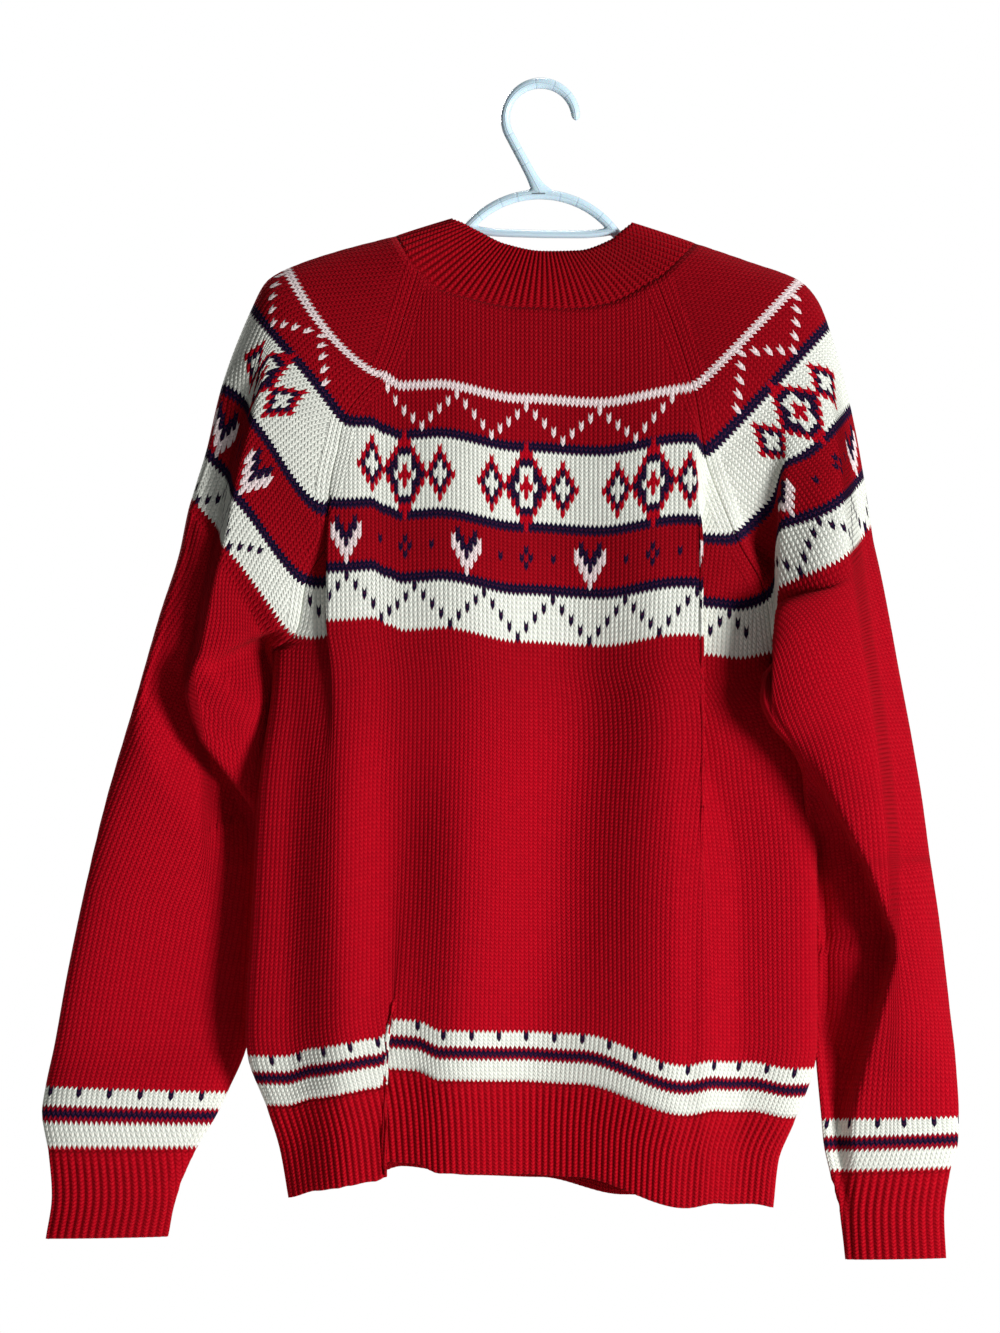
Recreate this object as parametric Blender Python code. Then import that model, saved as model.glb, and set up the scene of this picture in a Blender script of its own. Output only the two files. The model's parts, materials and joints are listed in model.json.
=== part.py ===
"""Fair isle jumper on a hanger: nine knitted pieces and one moulded hanger, +Z up.

The origin is the underside of the hook's crown, where a nail or a rail carries it. The near side,
which is the jumper's back, faces -Y. Lengths in the tables are millimetres. A row is one row of the
knitted pattern, counted down from the white line across the yoke, and a stitch is one wale.
"""

import math

import bmesh
import bpy
import numpy as np

MM = 0.001  # metres in a millimetre

# Cloth
WALL = 2.6  # thickness of the knitting
BAND_WALL = 3.0  # thickness of the neckband, which is doubled
SIDE_GAP = 0.25  # each piece's share of the gap along a raglan seam
END_GAP = 0.25  # the same across a seam between two rows
CUFF_GAP = 0.5  # a cuff's share
LAYER_GAP = 0.15  # the same at a side seam
UNDERARM_GAP = 0.9  # the same near the underarm
CORNER_GAPS = {"left": 1.2, "right": 3.8}  # the same at the underarms, where five edges meet
BAND_GAP = 0.3  # the neckband's
STITCH = 3.7  # width of a stitch
HALF_STITCHES = 61  # stitches from the middle of a panel to its side seam
MIDDLE = -10.0  # x of the wale in the middle of both panels
UNDERARM = 31.0  # row where the raglan seams end
RIB_START = 87.5  # row where the hem rib starts
HEM = 99.5  # last row of the hem rib
CUFF_START = 111.5  # row where a cuff's rib starts
CUFF_END = 123.0  # last row of a cuff

# Grid of the solids
PANEL_STEP = 4.0  # stitches between two columns of the back
FRONT_STEP = 6.0
SLEEVE_STEP = 4.0
CREST_COLUMNS = (-1.5, 0.0, 1.5)  # columns over the arm, where a sleeve folds
NECK_SHARES = (1.0, 0.7, 0.35)  # of the way from the white line up to the neck seam
YOKE_ROWS = (0.0, 4.0, 8.0, 12.0, 16.0, 20.0, 24.0, 27.5, 29.5)
BODY_ROWS = (UNDERARM, 38.0, 46.0, 55.0, 65.0, 75.0, 81.0, RIB_START)
HEM_ROWS = (RIB_START, 93.0, HEM)
ARM_ROWS = (33.0, 35.5, 38.5, 42.0, 46.0, 50.0, 54.5, 59.5, 65.0, 71.0, 78.0, 87.0, 96.0, 104.0)
SLEEVE_ROWS = (UNDERARM,) + ARM_ROWS + (CUFF_START,)
CUFF_ROWS = (CUFF_START, 117.0, CUFF_END)
NARROWEST = 0.35  # share of a column's width below which it is left out at a seam
DENSE = 161  # samples along a course before it is cut into stitches

# Forms that the whole jumper shares
SIDE_ROUND = 2.6  # how bluntly the body turns in to its side seams
SIDE_SHARE = 0.08  # of its width, over which both layers come to one height
FOLD_ROWS = (14.0, 52.0, 92.0)  # where the body's fold lines are given across
OUT_ROWS = (-12.0,) + FOLD_ROWS  # where they are given outwards
LIFT_ROWS = (UNDERARM, 81.0)
SLOPE_ROUND = 2.2  # how bluntly a sleeve's middle line runs from its seam to its fold
CREST_ROUND = 2.8  # how bluntly a sleeve folds over the arm
CREASE_WIDTH = 30.0  # across which a crease steps down
CREASE_FROM_SEAM = 0.12  # shares of a layer's width in which a crease fades out at its two ends
CREASE_FROM_CREST = 0.08


class Table:
    """Rows of named columns, read at any value of the first column."""

    def __init__(self, columns, rows):
        self.columns = dict(zip(columns.split(), (np.array(c, float) for c in zip(*rows))))
        self.key = columns.split()[0]

    def at(self, name, where):
        """The column at where, through a smooth curve that doesn't overshoot its rows."""
        x, y = self.columns[self.key], self.columns[name]
        where = np.clip(where, x[0], x[-1])
        step = np.diff(x)
        slope = np.diff(y) / step
        tangent = np.zeros_like(y)
        same = slope[:-1] * slope[1:] > 0
        harmonic = 2 * slope[:-1] * slope[1:] / np.where(same, slope[:-1] + slope[1:], 1)
        tangent[1:-1] = np.where(same, harmonic, 0)
        tangent[0], tangent[-1] = slope[0], slope[-1]
        k = np.clip(np.searchsorted(x, where, side="right") - 1, 0, len(step) - 1)
        t = (where - x[k]) / step[k]
        return (
            y[k] * (1 + 2 * t) * (1 - t) ** 2
            + tangent[k] * step[k] * t * (1 - t) ** 2
            + y[k + 1] * t * t * (3 - 2 * t)
            + tangent[k + 1] * step[k] * t * t * (t - 1)
        )


# The tube of the body. near and far are how far the two layers stand off the side seams,
# which lie at seam_left and seam_right behind the near layer's middle.
BODY = Table(
    "row level left right near far seam_left seam_right",
    (
        (-14.5, -141.1, -190, 172, 18, 13, -3, -2),
        (0.0, -224.6, -190, 172, 26, 16, -4, -3),
        (16.0, -316.8, -190, 172, 30, 19, -6, -4),
        (24.0, -361.4, -190, 171, 30, 21, -8, -4),
        (31.0, -408.2, -190.8, 170, 28, 24, -10, -4),
        (37.0, -441.9, -193.5, 192, 26, 26, -12, -4),
        (43.0, -475.6, -198.5, 199.4, 25, 27, -13, -4),
        (49.0, -509.3, -202.5, 199.4, 25, 28, -13, -5),
        (65.0, -599.2, -208.0, 199.4, 26, 29, -13, -8),
        (78.0, -672.2, -211.7, 199.4, 27, 30, -13, -10),
        (81.0, -689.0, -210.2, 197.0, 27, 30, -13, -10),
        (87.5, -725.0, -197.0, 184.0, 26, 29, -12, -10),
        (93.0, -757.0, -187.0, 171.5, 24, 26, -11, -9),
        (99.5, -791.3, -181.0, 167.8, 24, 26, -11, -9),
    ),
)

# Where the raglan seams cross the rows.
SEAMS = Table(
    "row near_left near_right far_left far_right",
    (
        (-14.5, -87.8, 82.8, -74, 70),
        (-9.5, -96, 92, -84, 80),
        (0.0, -113, 109.4, -106, 102),
        (6.0, -140.4, 118.1, -124, 114),
        (16.0, -151.2, 140.4, -146, 134),
        (24.0, -168.5, 162.0, -166, 152),
        (29.0, -174.2, 167.0, -180, 164),
        (31.0, -190.8, 170.0, -190.8, 170.0),
    ),
)

# Neck edge: the row it lies on at shares of the way between the raglan seams.
BACK_NECK = Table(
    "share row", ((0, -14.5), (0.1, -11.8), (0.25, -11.4), (0.6, -11.6), (0.85, -12.8), (1, -14.5))
)
FRONT_NECK = Table("share row", ((0, -9.5), (0.2, -6.4), (0.5, -5.2), (0.8, -6.4), (1, -9.5)))
SLEEVE_NECK = Table("share row", ((0, -14.5), (0.5, -14.2), (1, -9.5)))

FOLD_COLUMNS = "x_yoke x_body x_hem lift_yoke lift_hem out_neck out_yoke out_body out_hem"

# The near layer's fold lines from left to right. x is a line's place, lift is how far the rows
# rise there, and out is how far the cloth stands out there.
BACK_FOLDS = (
    (-186, -187, -183, 3, -7, 0, 1, 6, 5),
    (-166, -168, -160, 2, -1, 0, -5, -8, -5),
    (-157, -157, -146, 4, 1, 0, -6, -7, -3),
    (-146, -145, -137, 15, 3, 0, 4, 2, 0),
    (-121, -116, -123, 17, 6, 0, 4, 7, 9),
    (-111, -105, -118, 12, 9, 0, 2, 5, 8),
    (-100, -93, -104, 8, 20, 0, -3, -2, -3),
    (-87, -80, -91, 9, 19, 0, -4, -8, -5),
    (-74, -65, -72, 10, 12, 0, -1, -4, -3),
    (-14, -14, -18, 0, 11, 1, 5, 8, 6),
    (43, 43, 25, -3, 9, -1, -4, -10, -8),
    (100, 101, 105, 5, -13, 0, 7, 9, 6),
    (110, 111, 126, 4, -10, 0, 7, 8, 2),
    (120, 122, 138, -9, -11, 0, -8, -5, -1),
    (142, 143, 151, -12, -11, 0, -10, -10, -4),
    (172, 180, 180, -8, -16, 0, -8, -2, 3),
)

# The far layer's, gentler because it hangs against what the hook is fixed to.
FRONT_FOLDS = (
    (-175, -180, -170, 0, 2, 0, 0, 3, 3),
    (-140, -135, -130, 4, 6, 0, 2, -5, -4),
    (-92, -90, -100, 3, 14, 0, 0, 4, 5),
    (-40, -45, -50, 0, 8, 0, -2, -4, -5),
    (8, 10, 0, -2, 6, 0, 2, 4, 5),
    (52, 55, 60, -1, -6, 0, -2, -5, -4),
    (104, 108, 112, 3, -8, 0, 1, 4, 4),
    (146, 152, 150, 2, -3, 0, 1, -4, -3),
)

SLEEVE_COLUMNS = "row inner_x inner_z inner_y outer_x outer_z outer_y near far sag round lap"

# A sleeve's sections. Down to the underarm the inner end is on the body's seams. sag lowers a row's
# middle, near and far are the depths of the two layers' crests, and round and lap are how bluntly
# the near and the far layer leave the inner end.
LEFT_SLEEVE = Table(
    SLEEVE_COLUMNS,
    (
        (-14.5, 0, 0, 0, -102.2, -106.6, 0, 20, 14, 0, 1.0, 1.2),
        (-7.0, 0, 0, 0, -146.0, -117.7, 0, 26, 16, 0, 1.0, 1.2),
        (0.0, 0, 0, 0, -182.0, -130.2, 0, 32, 18, 0, 1.1, 1.2),
        (2.5, 0, 0, 0, -196.6, -139.0, 0, 33, 19, 0, 1.1, 1.2),
        (6.0, 0, 0, 0, -207.4, -158.5, 0, 35, 20, 0, 1.1, 1.2),
        (16.0, 0, 0, 0, -229.7, -216.7, 0, 39, 22, -10, 1.2, 1.2),
        (24.0, 0, 0, 0, -240.5, -262.1, 0, 41, 23, 0, 1.3, 1.2),
        (29.0, 0, 0, 0, -249.8, -292.3, 0, 41, 23, 9, 1.4, 1.2),
        (31.0, -190.8, -405.2, -10, -253.0, -303.0, 0, 41, 23, 10, 1.4, 1.2),
        (36.7, -188.0, -428.0, -2, -259.9, -335.5, 0, 39, 22, 8, 1.4, 1.8),
        (44.4, -192.5, -459.0, 2, -273.6, -378.0, 1, 37, 21, 4, 1.3, 2.2),
        (55.7, -197.5, -503.0, 4, -291.6, -440.6, 2, 34, 20, 0, 1.3, 2.2),
        (70.6, -202.0, -566.0, 5, -315.4, -523.4, 2, 31, 19, 0, 1.3, 2.2),
        (90.0, -206.5, -648.0, 5, -339.8, -633.6, 2, 26, 17, 0, 1.3, 2.2),
        (99.0, -210.5, -688.0, 4, -350.0, -690.0, 2, 22, 15, 0, 1.5, 2.2),
        (105.0, -225.4, -724.3, 2, -356.4, -720.0, 2, 18, 13, 0, 2.0, 2.2),
        (108.0, -233.0, -740.0, 1, -358.8, -738.0, 1, 15, 11, 0, 2.2, 2.2),
        (111.5, -247.5, -764.5, 0, -354.5, -764.5, 0, 12, 9, 0, 2.2, 2.2),
        (117.0, -261.0, -797.0, 0, -352.0, -797.0, 0, 11, 8, 0, 2.2, 2.2),
        (123.0, -267.1, -827.0, 0, -356.4, -828.5, 0, 11, 8, 0, 2.2, 2.2),
    ),
)
RIGHT_SLEEVE = Table(
    SLEEVE_COLUMNS,
    (
        (-14.5, 0, 0, 0, 110.2, -111.6, 0, 18, 14, 0, 1.0, 1.2),
        (-7.0, 0, 0, 0, 150.0, -125.0, 0, 26, 16, 0, 1.0, 1.2),
        (0.0, 0, 0, 0, 187.2, -139.0, 0, 32, 18, 0, 1.1, 1.2),
        (3.0, 0, 0, 0, 200.2, -153.4, 0, 34, 19, 0, 1.1, 1.2),
        (6.0, 0, 0, 0, 207.4, -170.6, 0, 37, 20, 0, 1.1, 1.2),
        (16.0, 0, 0, 0, 223.9, -231.1, 0, 46, 21, 0, 1.2, 1.2),
        (24.0, 0, 0, 0, 232.6, -277.2, 0, 54, 20, 0, 1.4, 1.2),
        (29.0, 0, 0, 0, 237.6, -310.3, 0, 58, 18, 0, 1.7, 1.2),
        (31.0, 170.0, -416.2, -4, 240.0, -326.0, 0, 59, 17, 0, 1.9, 1.2),
        (33.5, 163.0, -421.0, -22, 243.0, -339.0, 0, 60, 14, -4, 2.1, 0.7),
        (36.5, 159.0, -427.0, -34, 246.5, -355.0, 0, 60, 12, -6, 2.2, 0.7),
        (42.0, 157.0, -440.0, -40, 252.5, -386.0, 0, 60, 10, -8, 2.2, 0.7),
        (48.0, 163.0, -456.0, -40, 258.5, -419.0, 0, 59, 10, -8, 2.2, 0.7),
        (56.0, 182.2, -480.0, -31, 266.5, -461.0, 0, 54, 12, -5, 2.1, 0.7),
        (60.0, 193.0, -496.0, -26, 270.6, -484.0, 1, 50, 14, 0, 2.0, 0.8),
        (64.5, 201.2, -514.0, -13, 275.1, -511.0, 1, 45, 15, 0, 1.8, 1.0),
        (71.0, 200.9, -549.0, 5, 280.6, -552.0, 1, 38, 18, 0, 1.4, 1.6),
        (74.0, 198.5, -565.0, 7, 281.5, -558.0, 1, 37, 18, 0, 1.3, 1.8),
        (80.0, 195.5, -598.0, 6, 287.8, -600.0, 1, 33, 18, 0, 1.2, 2.2),
        (92.0, 195.5, -660.0, 6, 295.5, -665.0, 1, 28, 17, 0, 1.2, 2.2),
        (99.0, 198.5, -700.0, 4, 300.0, -706.0, 1, 22, 15, 0, 1.4, 2.2),
        (104.0, 202.0, -738.0, 1, 301.7, -736.6, 1, 17, 13, 0, 2.0, 2.2),
        (108.0, 204.0, -760.0, 0, 301.5, -757.0, 1, 15, 11, 0, 2.2, 2.2),
        (111.5, 208.5, -781.0, 0, 296.0, -779.0, 0, 12, 9, 0, 2.2, 2.2),
        (117.0, 216.0, -812.0, 0, 291.6, -812.0, 0, 11, 8, 0, 2.2, 2.2),
        (123.0, 219.5, -843.5, 0, 293.0, -842.5, 0, 11, 8, 0, 2.2, 2.2),
    ),
)

# Fold edges that run across a sleeve's near layer: how far each is felt, and its path as x, z, depth
# and lift. The cloth on the path's left, seen along it, lies deeper by depth, and on its right rises
# by lift.
LEFT_CREASES = {
    "underarm fold": (
        46.0,
        (
            (-249, -410, 0, 0),
            (-253.5, -425, 3, 0),
            (-254.5, -437, 6, 0),
            (-250.5, -453, 8, 0),
            (-244, -470, 9, 0),
            (-231, -487, 9, 0),
            (-217.5, -505, 9, 0),
            (-207, -520, 8, 0),
            (-203, -540, 4, 0),
            (-203, -560, 0, 0),
        ),
    ),
    "underarm lip": (
        60.0,
        (
            (-243, -420, 0, 0),
            (-235, -412.5, 4, 0),
            (-216, -402.5, 7, 0),
            (-200, -395, 7, 0),
            (-188, -393, 5, 0),
        ),
    ),
}
RIGHT_CREASES = {
    "overlap": (
        70.0,
        (
            (223, -850, 4, 0),
            (220.3, -779, 6, 0),
            (219.6, -750, 8, 0),
            (223.2, -728.6, 10, 0),
            (230.4, -701.3, 12, 0),
            (241.9, -662.4, 15, 0),
            (252.5, -625, 19, 0),
            (252, -609.8, 22, 0),
            (244.1, -589, 25, 0),
            (232.6, -559.4, 26, 0),
            (218.9, -534.2, 24, 0),
            (205, -510, 18, 0),
            (190, -485, 4, 0),
        ),
    ),
    "yoke fold": (
        60.0,
        (
            (167, -400, 20, 38),
            (169, -355, 20, 38),
            (170.6, -325, 16, 30),
            (170.6, -297, 10, 20),
            (172, -272, 5, 8),
            (176, -246, 0, 0),
        ),
    ),
}

# Neckband: its top edge, near layer then far layer, from the left corner to the right one.
BAND_TOP_LEFT = (-63.4, -93.6)
BAND_TOP_RIGHT = (66.2, -96.5)
BAND_NEAR = Table(
    "share drop out",
    (
        (0, 0, 0),
        (0.05, 2.6, 7),
        (0.14, 8.5, 9),
        (0.3, 18, 11),
        (0.5, 22.5, 13),
        (0.7, 21.5, 12),
        (0.88, 13, 9),
        (0.95, 5.5, 7),
        (1, 0, 0),
    ),
)
BAND_FAR = Table(
    "share drop out",
    (
        (0, 0, 0),
        (0.05, 9, 7),
        (0.15, 30, 9),
        (0.35, 48, 11),
        (0.5, 52, 11),
        (0.65, 48, 11),
        (0.85, 30, 9),
        (0.95, 9, 7),
        (1, 0, 0),
    ),
)
BAND_COLUMNS = 48
BAND_ROWS = 3
BAND_BULGE = 1.5  # how far the middle of its height stands out

# Hanger: a moulding whose arms hang a little lower on the right. Its tables are read from the
# middle out, before that tilt, from the crown of its arch, which is at HUB.
HUB = (1.0, -76.5)
TILT = math.radians(1.05)
DEPTH = 3.4  # half of the moulding's depth
HOOK_RADIUS = 25.4  # of the hook's middle line, whose top is over the origin
HOOK_CENTRE = (0.4, -21.8)
HOOK_START = math.radians(-4)  # the tip, and where the hook runs straight into its neck
HOOK_END = math.radians(204.5)
HOOK_STEPS = 22
HOOK_HALF = Table("share half", ((0, 2.7), (0.2, 3.2), (0.45, 3.6), (0.75, 2.9), (1, 3.0)))
NECK_HALF = Table("share half", ((0, 3.0), (0.6, 3.3), (0.85, 4.6), (1, 8.0)))
NECK_STEPS = 8
ARCH_HALF_SPAN = 55.0
ARCH_DROP = 28.5
ARCH_HALF = Table("along half", ((0, 3.7), (50, 3.6), (62, 4.0), (180, 4.0)))
ARM_END = 180.0
ARM_SLOPE = math.radians(15.5)
ARM_STEP = 9.0
BRACE = Table("along drop", ((0, 28.6), (30, 28.2), (43, 27.0), (51, 25.6)))
BRACE_HALF = 2.9
BRACE_STEP = 8.5
ROUND_END = 5.0  # length over which an end is rounded off
ROUND_SHARES = (0.75, 0.4, 0.12, 0.0)  # of that length, where the arms' end rings lie
ROUND_LEAST = 0.3  # share of a tube's size that its end ring keeps
TUBE_SIDES = 10

RED = (0.50, 0.004, 0.014, 1.0)
DEEP_RED = (0.42, 0.003, 0.012, 1.0)
PALE_BLUE = (0.62, 0.76, 0.88, 1.0)


def ease(t):
    """0 to 1 with level ends."""
    t = np.clip(t, 0.0, 1.0)
    return t * t * (3 - 2 * t)


def blunt(t, power):
    """A quarter of a superellipse: 1 at t 0, 0 at t 1."""
    return (1 - np.clip(t, 0, 1) ** power) ** (1 / power)


class Folds:
    """The fold lines of one layer of the body."""

    def __init__(self, rows):
        self.lines = [dict(zip(FOLD_COLUMNS.split(), row)) for row in rows]

    @staticmethod
    def between(row, stations, values):
        """Smooth values between the rows where a line is given."""
        total = values[0] * np.ones_like(row)
        for k in range(len(stations) - 1):
            share = ease((row - stations[k]) / (stations[k + 1] - stations[k]))
            total = total + (values[k + 1] - values[k]) * share
        return total

    def read(self, x, row, name):
        """The cloth's lift or its distance out at x and row."""
        ends = ("yoke", "hem") if name == "lift" else ("neck", "yoke", "body", "hem")
        stations = LIFT_ROWS if name == "lift" else OUT_ROWS
        places, values = [], []
        for line in self.lines:
            across = [line["x_" + end] for end in ("yoke", "body", "hem")]
            places.append(self.between(row, FOLD_ROWS, across))
            values.append(self.between(row, stations, [line[f"{name}_{e}"] for e in ends]))
        total = values[0]
        for k in range(len(places) - 1):
            share = ease((x - places[k]) / (places[k + 1] - places[k]))
            total = total + (values[k + 1] - values[k]) * share
        return total


class Body:
    """The two layers of the body, from the neck to the hem."""

    def __init__(self):
        self.folds = {"near": Folds(BACK_FOLDS), "far": Folds(FRONT_FOLDS)}
        self.sign = {"near": -1.0, "far": 1.0}
        self.gauge = {}
        for layer in ("near", "far"):
            self.course(layer, UNDERARM)

    def point(self, layer, x, row):
        """Points of a layer at x and row, as an array of x, y, z."""
        x, row = np.broadcast_arrays(np.asarray(x, float), np.asarray(row, float))
        left, right = BODY.at("left", row), BODY.at("right", row)
        share = np.clip((x - left) / (right - left), 0, 1)
        seam = BODY.at("seam_left", row) * (1 - share) + BODY.at("seam_right", row) * share
        crown = blunt(np.abs(2 * share - 1), SIDE_ROUND)
        out = BODY.at(layer, row) + self.folds[layer].read(x, row, "out")
        z = BODY.at("level", row) + self.folds[layer].read(x, row, "lift")
        side_lift = self.folds["near"].read(x, row, "lift") - self.folds[layer].read(x, row, "lift")
        z = z + side_lift * (1 - ease(np.minimum(share, 1 - share) / SIDE_SHARE)) * (row >= 0)
        return np.stack([x, seam + self.sign[layer] * out * crown, z], axis=-1)

    def edges(self, layer, row):
        """The x at both ends of a row: on the raglan seams, and below them on the side seams."""
        if row < UNDERARM:
            return SEAMS.at(layer + "_left", row), SEAMS.at(layer + "_right", row)
        return BODY.at("left", row), BODY.at("right", row)

    def course(self, layer, row, neck=0.0):
        """A dense row of points and its stitch numbers. neck is the share of the way up to the neck edge."""
        share = (1 - np.cos(np.linspace(0, math.pi, DENSE))) / 2
        table = BACK_NECK if layer == "near" else FRONT_NECK
        rows = row + neck * table.at("row", share)
        left, right = self.edges(layer, rows[0])[0], self.edges(layer, rows[-1])[1]
        points = self.point(layer, left + (right - left) * share, rows)
        length = arc_length(points)
        middle = np.interp(MIDDLE, points[:, 0], length)
        gauge = middle / HALF_STITCHES, (length[-1] - middle) / HALF_STITCHES
        if row >= UNDERARM:
            self.gauge.setdefault(layer, gauge)
        else:
            gauge = self.gauge[layer]
        stitches = (length - middle) / np.where(length < middle, gauge[0], gauge[1])
        return points, stitches, rows


class Crease:
    """A fold edge along a path across a sleeve's near layer."""

    def __init__(self, reach, rows):
        self.reach = reach
        self.path = np.array(rows, float)

    def move(self, x, z):
        """How much deeper and how much higher the cloth lies at x and z."""
        nearest = np.full(x.shape, np.inf)
        side, depth, lift = np.ones(x.shape), np.zeros(x.shape), np.zeros(x.shape)
        for start, end in zip(self.path[:-1], self.path[1:]):
            run = end[:2] - start[:2]
            share = np.clip(((x - start[0]) * run[0] + (z - start[1]) * run[1]) / (run @ run), 0, 1)
            dx, dz = x - start[0] - share * run[0], z - start[1] - share * run[1]
            away = np.hypot(dx, dz)
            closer = away < nearest
            nearest = np.where(closer, away, nearest)
            side = np.where(closer, np.sign(run[0] * dz - run[1] * dx), side)
            depth = np.where(closer, start[2] + (end[2] - start[2]) * share, depth)
            lift = np.where(closer, start[3] + (end[3] - start[3]) * share, lift)
        fade = 1 - ease(nearest / self.reach)
        step = ease(0.5 + side * nearest / CREASE_WIDTH)
        return depth * fade * step, lift * fade * (1 - step)


class Sleeve:
    """A raglan sleeve's tube, from the neck seam to the end of its cuff."""

    def __init__(self, hand, table, creases, body):
        self.hand, self.table, self.body = hand, table, body
        self.creases = [Crease(*crease) for crease in creases.values()]

    def inner(self, layer, row):
        """Where a row starts: on the raglan seam, or below it on the underarm seam."""
        if row <= UNDERARM:
            return self.body.point(layer, SEAMS.at(f"{layer}_{self.hand}", row), row)
        return np.array([self.table.at(name, row) for name in ("inner_x", "inner_y", "inner_z")])

    def layer(self, layer, row, neck):
        """A dense row of one layer from its inner end to the fold over the arm, with its row numbers."""
        share = (1 - np.cos(np.linspace(0, math.pi, DENSE))) / 2
        across = share / 2 if layer == "near" else 1 - share / 2
        rows = row + neck * SLEEVE_NECK.at("row", across)
        start = self.inner(layer, rows[0])
        outer = np.array([self.table.at(name, rows[-1]) for name in ("outer_x", "outer_y", "outer_z")])
        points = start + (outer - start) * share[:, None]
        points[:, 1] = outer[1] + (start[1] - outer[1]) * blunt(share, SLOPE_ROUND)
        roundness = self.table.at("round" if layer == "near" else "lap", rows)
        swell = blunt(1 - share, roundness) * blunt(share, CREST_ROUND)
        sign = -1.0 if layer == "near" else 1.0
        points[:, 1] += (sign * self.table.at(layer, rows) - start[1]) * swell
        points[:, 2] -= self.table.at("sag", rows) * 4 * share * (1 - share)
        if layer == "near":
            hold = ease(share / CREASE_FROM_SEAM) * ease((1 - share) / CREASE_FROM_CREST)
            for crease in self.creases:
                depth, lift = crease.move(points[:, 0].copy(), points[:, 2].copy())
                points[:, 1] += depth * hold
                points[:, 2] += lift * hold
        return points, rows

    def course(self, row, neck=0.0):
        """A dense row round the arm and its stitch numbers, which are 0 on the fold over the arm."""
        near, near_rows = self.layer("near", row, neck)
        far, far_rows = self.layer("far", row, neck)
        points = np.concatenate([near, far[::-1][1:]])
        length = arc_length(points)
        stitches = (length - length[DENSE - 1]) / STITCH
        return points, stitches, np.concatenate([near_rows, far_rows[::-1][1:]])


def arc_length(points):
    """Distance along a row of points, from its first."""
    return np.concatenate([[0.0], np.cumsum(np.linalg.norm(np.diff(points, axis=0), axis=1))])


class Net:
    """A sheet of knitting cut from courses: every row has the same columns, clamped at its two seams.

    Its rows before own_from share their edges with the sheets sewn to them, and from there on only
    with the sheets of the same tube.
    """

    def __init__(self, courses, columns, tube, own_from=0):
        self.tube, self.own_from = tube, own_from
        step = columns[1] - columns[0]
        self.first, self.last, rows = [], [], []
        for points, stitches, _ in courses:
            first = max(0, int(np.sum(columns < stitches[0] + NARROWEST * step)) - 1)
            last = min(len(columns) - 1, int(np.sum(columns <= stitches[-1] - NARROWEST * step)))
            at = columns.copy()
            at[: first + 1], at[last:] = stitches[0], stitches[-1]
            rows.append(np.stack([np.interp(at, stitches, points[:, k]) for k in range(3)], axis=1))
            self.first.append(first)
            self.last.append(last)
        self.points = np.array(rows)

    def key(self, corner):
        """The place of a point, by which the sheets that share it know it."""
        place = tuple(int(round(value * 1000)) for value in self.points[corner])
        return place + (self.tube,) if corner[0] >= self.own_from else place

    def index(self, row, column):
        """The column that stands for this one in a row."""
        return min(max(column, self.first[row]), self.last[row])

    def faces(self):
        """Faces as (row, column) corners, with the outer side out."""
        found = []
        for row in range(len(self.points) - 1):
            for column in range(self.points.shape[1] - 1):
                corners = []
                for r, c in ((row, column), (row + 1, column), (row + 1, column + 1), (row, column + 1)):
                    corner = (r, self.index(r, c))
                    if corner not in corners:
                        corners.append(corner)
                if len(corners) > 2:
                    found.append(corners)
        return found


def outward_normals(nets):
    """The normal at each point of all the sheets together, so that meeting edges match."""
    normals = {}
    for net, flip in nets:
        for corners in net.faces():
            loop = corners[::-1] if flip else corners
            points = [net.points[corner] for corner in loop]
            normal = np.zeros(3)
            for a, b in zip(points, points[1:] + points[:1]):
                normal += np.cross(a, b)
            for corner in loop:
                normals[net.key(corner)] = normals.get(net.key(corner), np.zeros(3)) + normal
    return {key: n / max(np.linalg.norm(n), 1e-9) for key, n in normals.items()}


def new_object(name, mesh_builder, material):
    """Adds one named object whose mesh the builder fills, in millimetres."""
    build = bmesh.new()
    mesh_builder(build)
    bmesh.ops.scale(build, vec=(MM, MM, MM), verts=build.verts)
    bmesh.ops.remove_doubles(build, verts=build.verts, dist=1e-7)
    mesh = bpy.data.meshes.new(name)
    build.to_mesh(mesh)
    build.free()
    mesh.materials.append(material)
    mesh.shade_smooth()
    piece = bpy.data.objects.new(name, mesh)
    bpy.context.collection.objects.link(piece)
    return piece


def wall(build, net, normals, flip, trims, thickness=WALL):
    """A closed wall on a sheet: its outer side, an inner side and the edges between them."""
    outer, inner = {}, {}
    for corners in net.faces():
        for corner in corners:
            if corner not in outer:
                point = net.points[corner] + trims.get(corner, 0.0)
                normal = normals[net.key(corner)]
                outer[corner] = build.verts.new(point)
                inner[corner] = build.verts.new(point - normal * thickness)
    edges = {}
    for corners in net.faces():
        loop = corners[::-1] if flip else corners
        build.faces.new([outer[c] for c in loop])
        build.faces.new([inner[c] for c in loop[::-1]])
        for a, b in zip(loop, loop[1:] + loop[:1]):
            edges[a, b] = True
    at = {corner: tuple(np.round(net.points[corner] + trims.get(corner, 0.0), 3)) for corner in outer}
    seen = {(at[a], at[b]) for a, b in edges}
    for a, b in edges:
        if (at[b], at[a]) not in seen:
            build.faces.new([outer[b], outer[a], inner[a], inner[b]])


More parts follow.
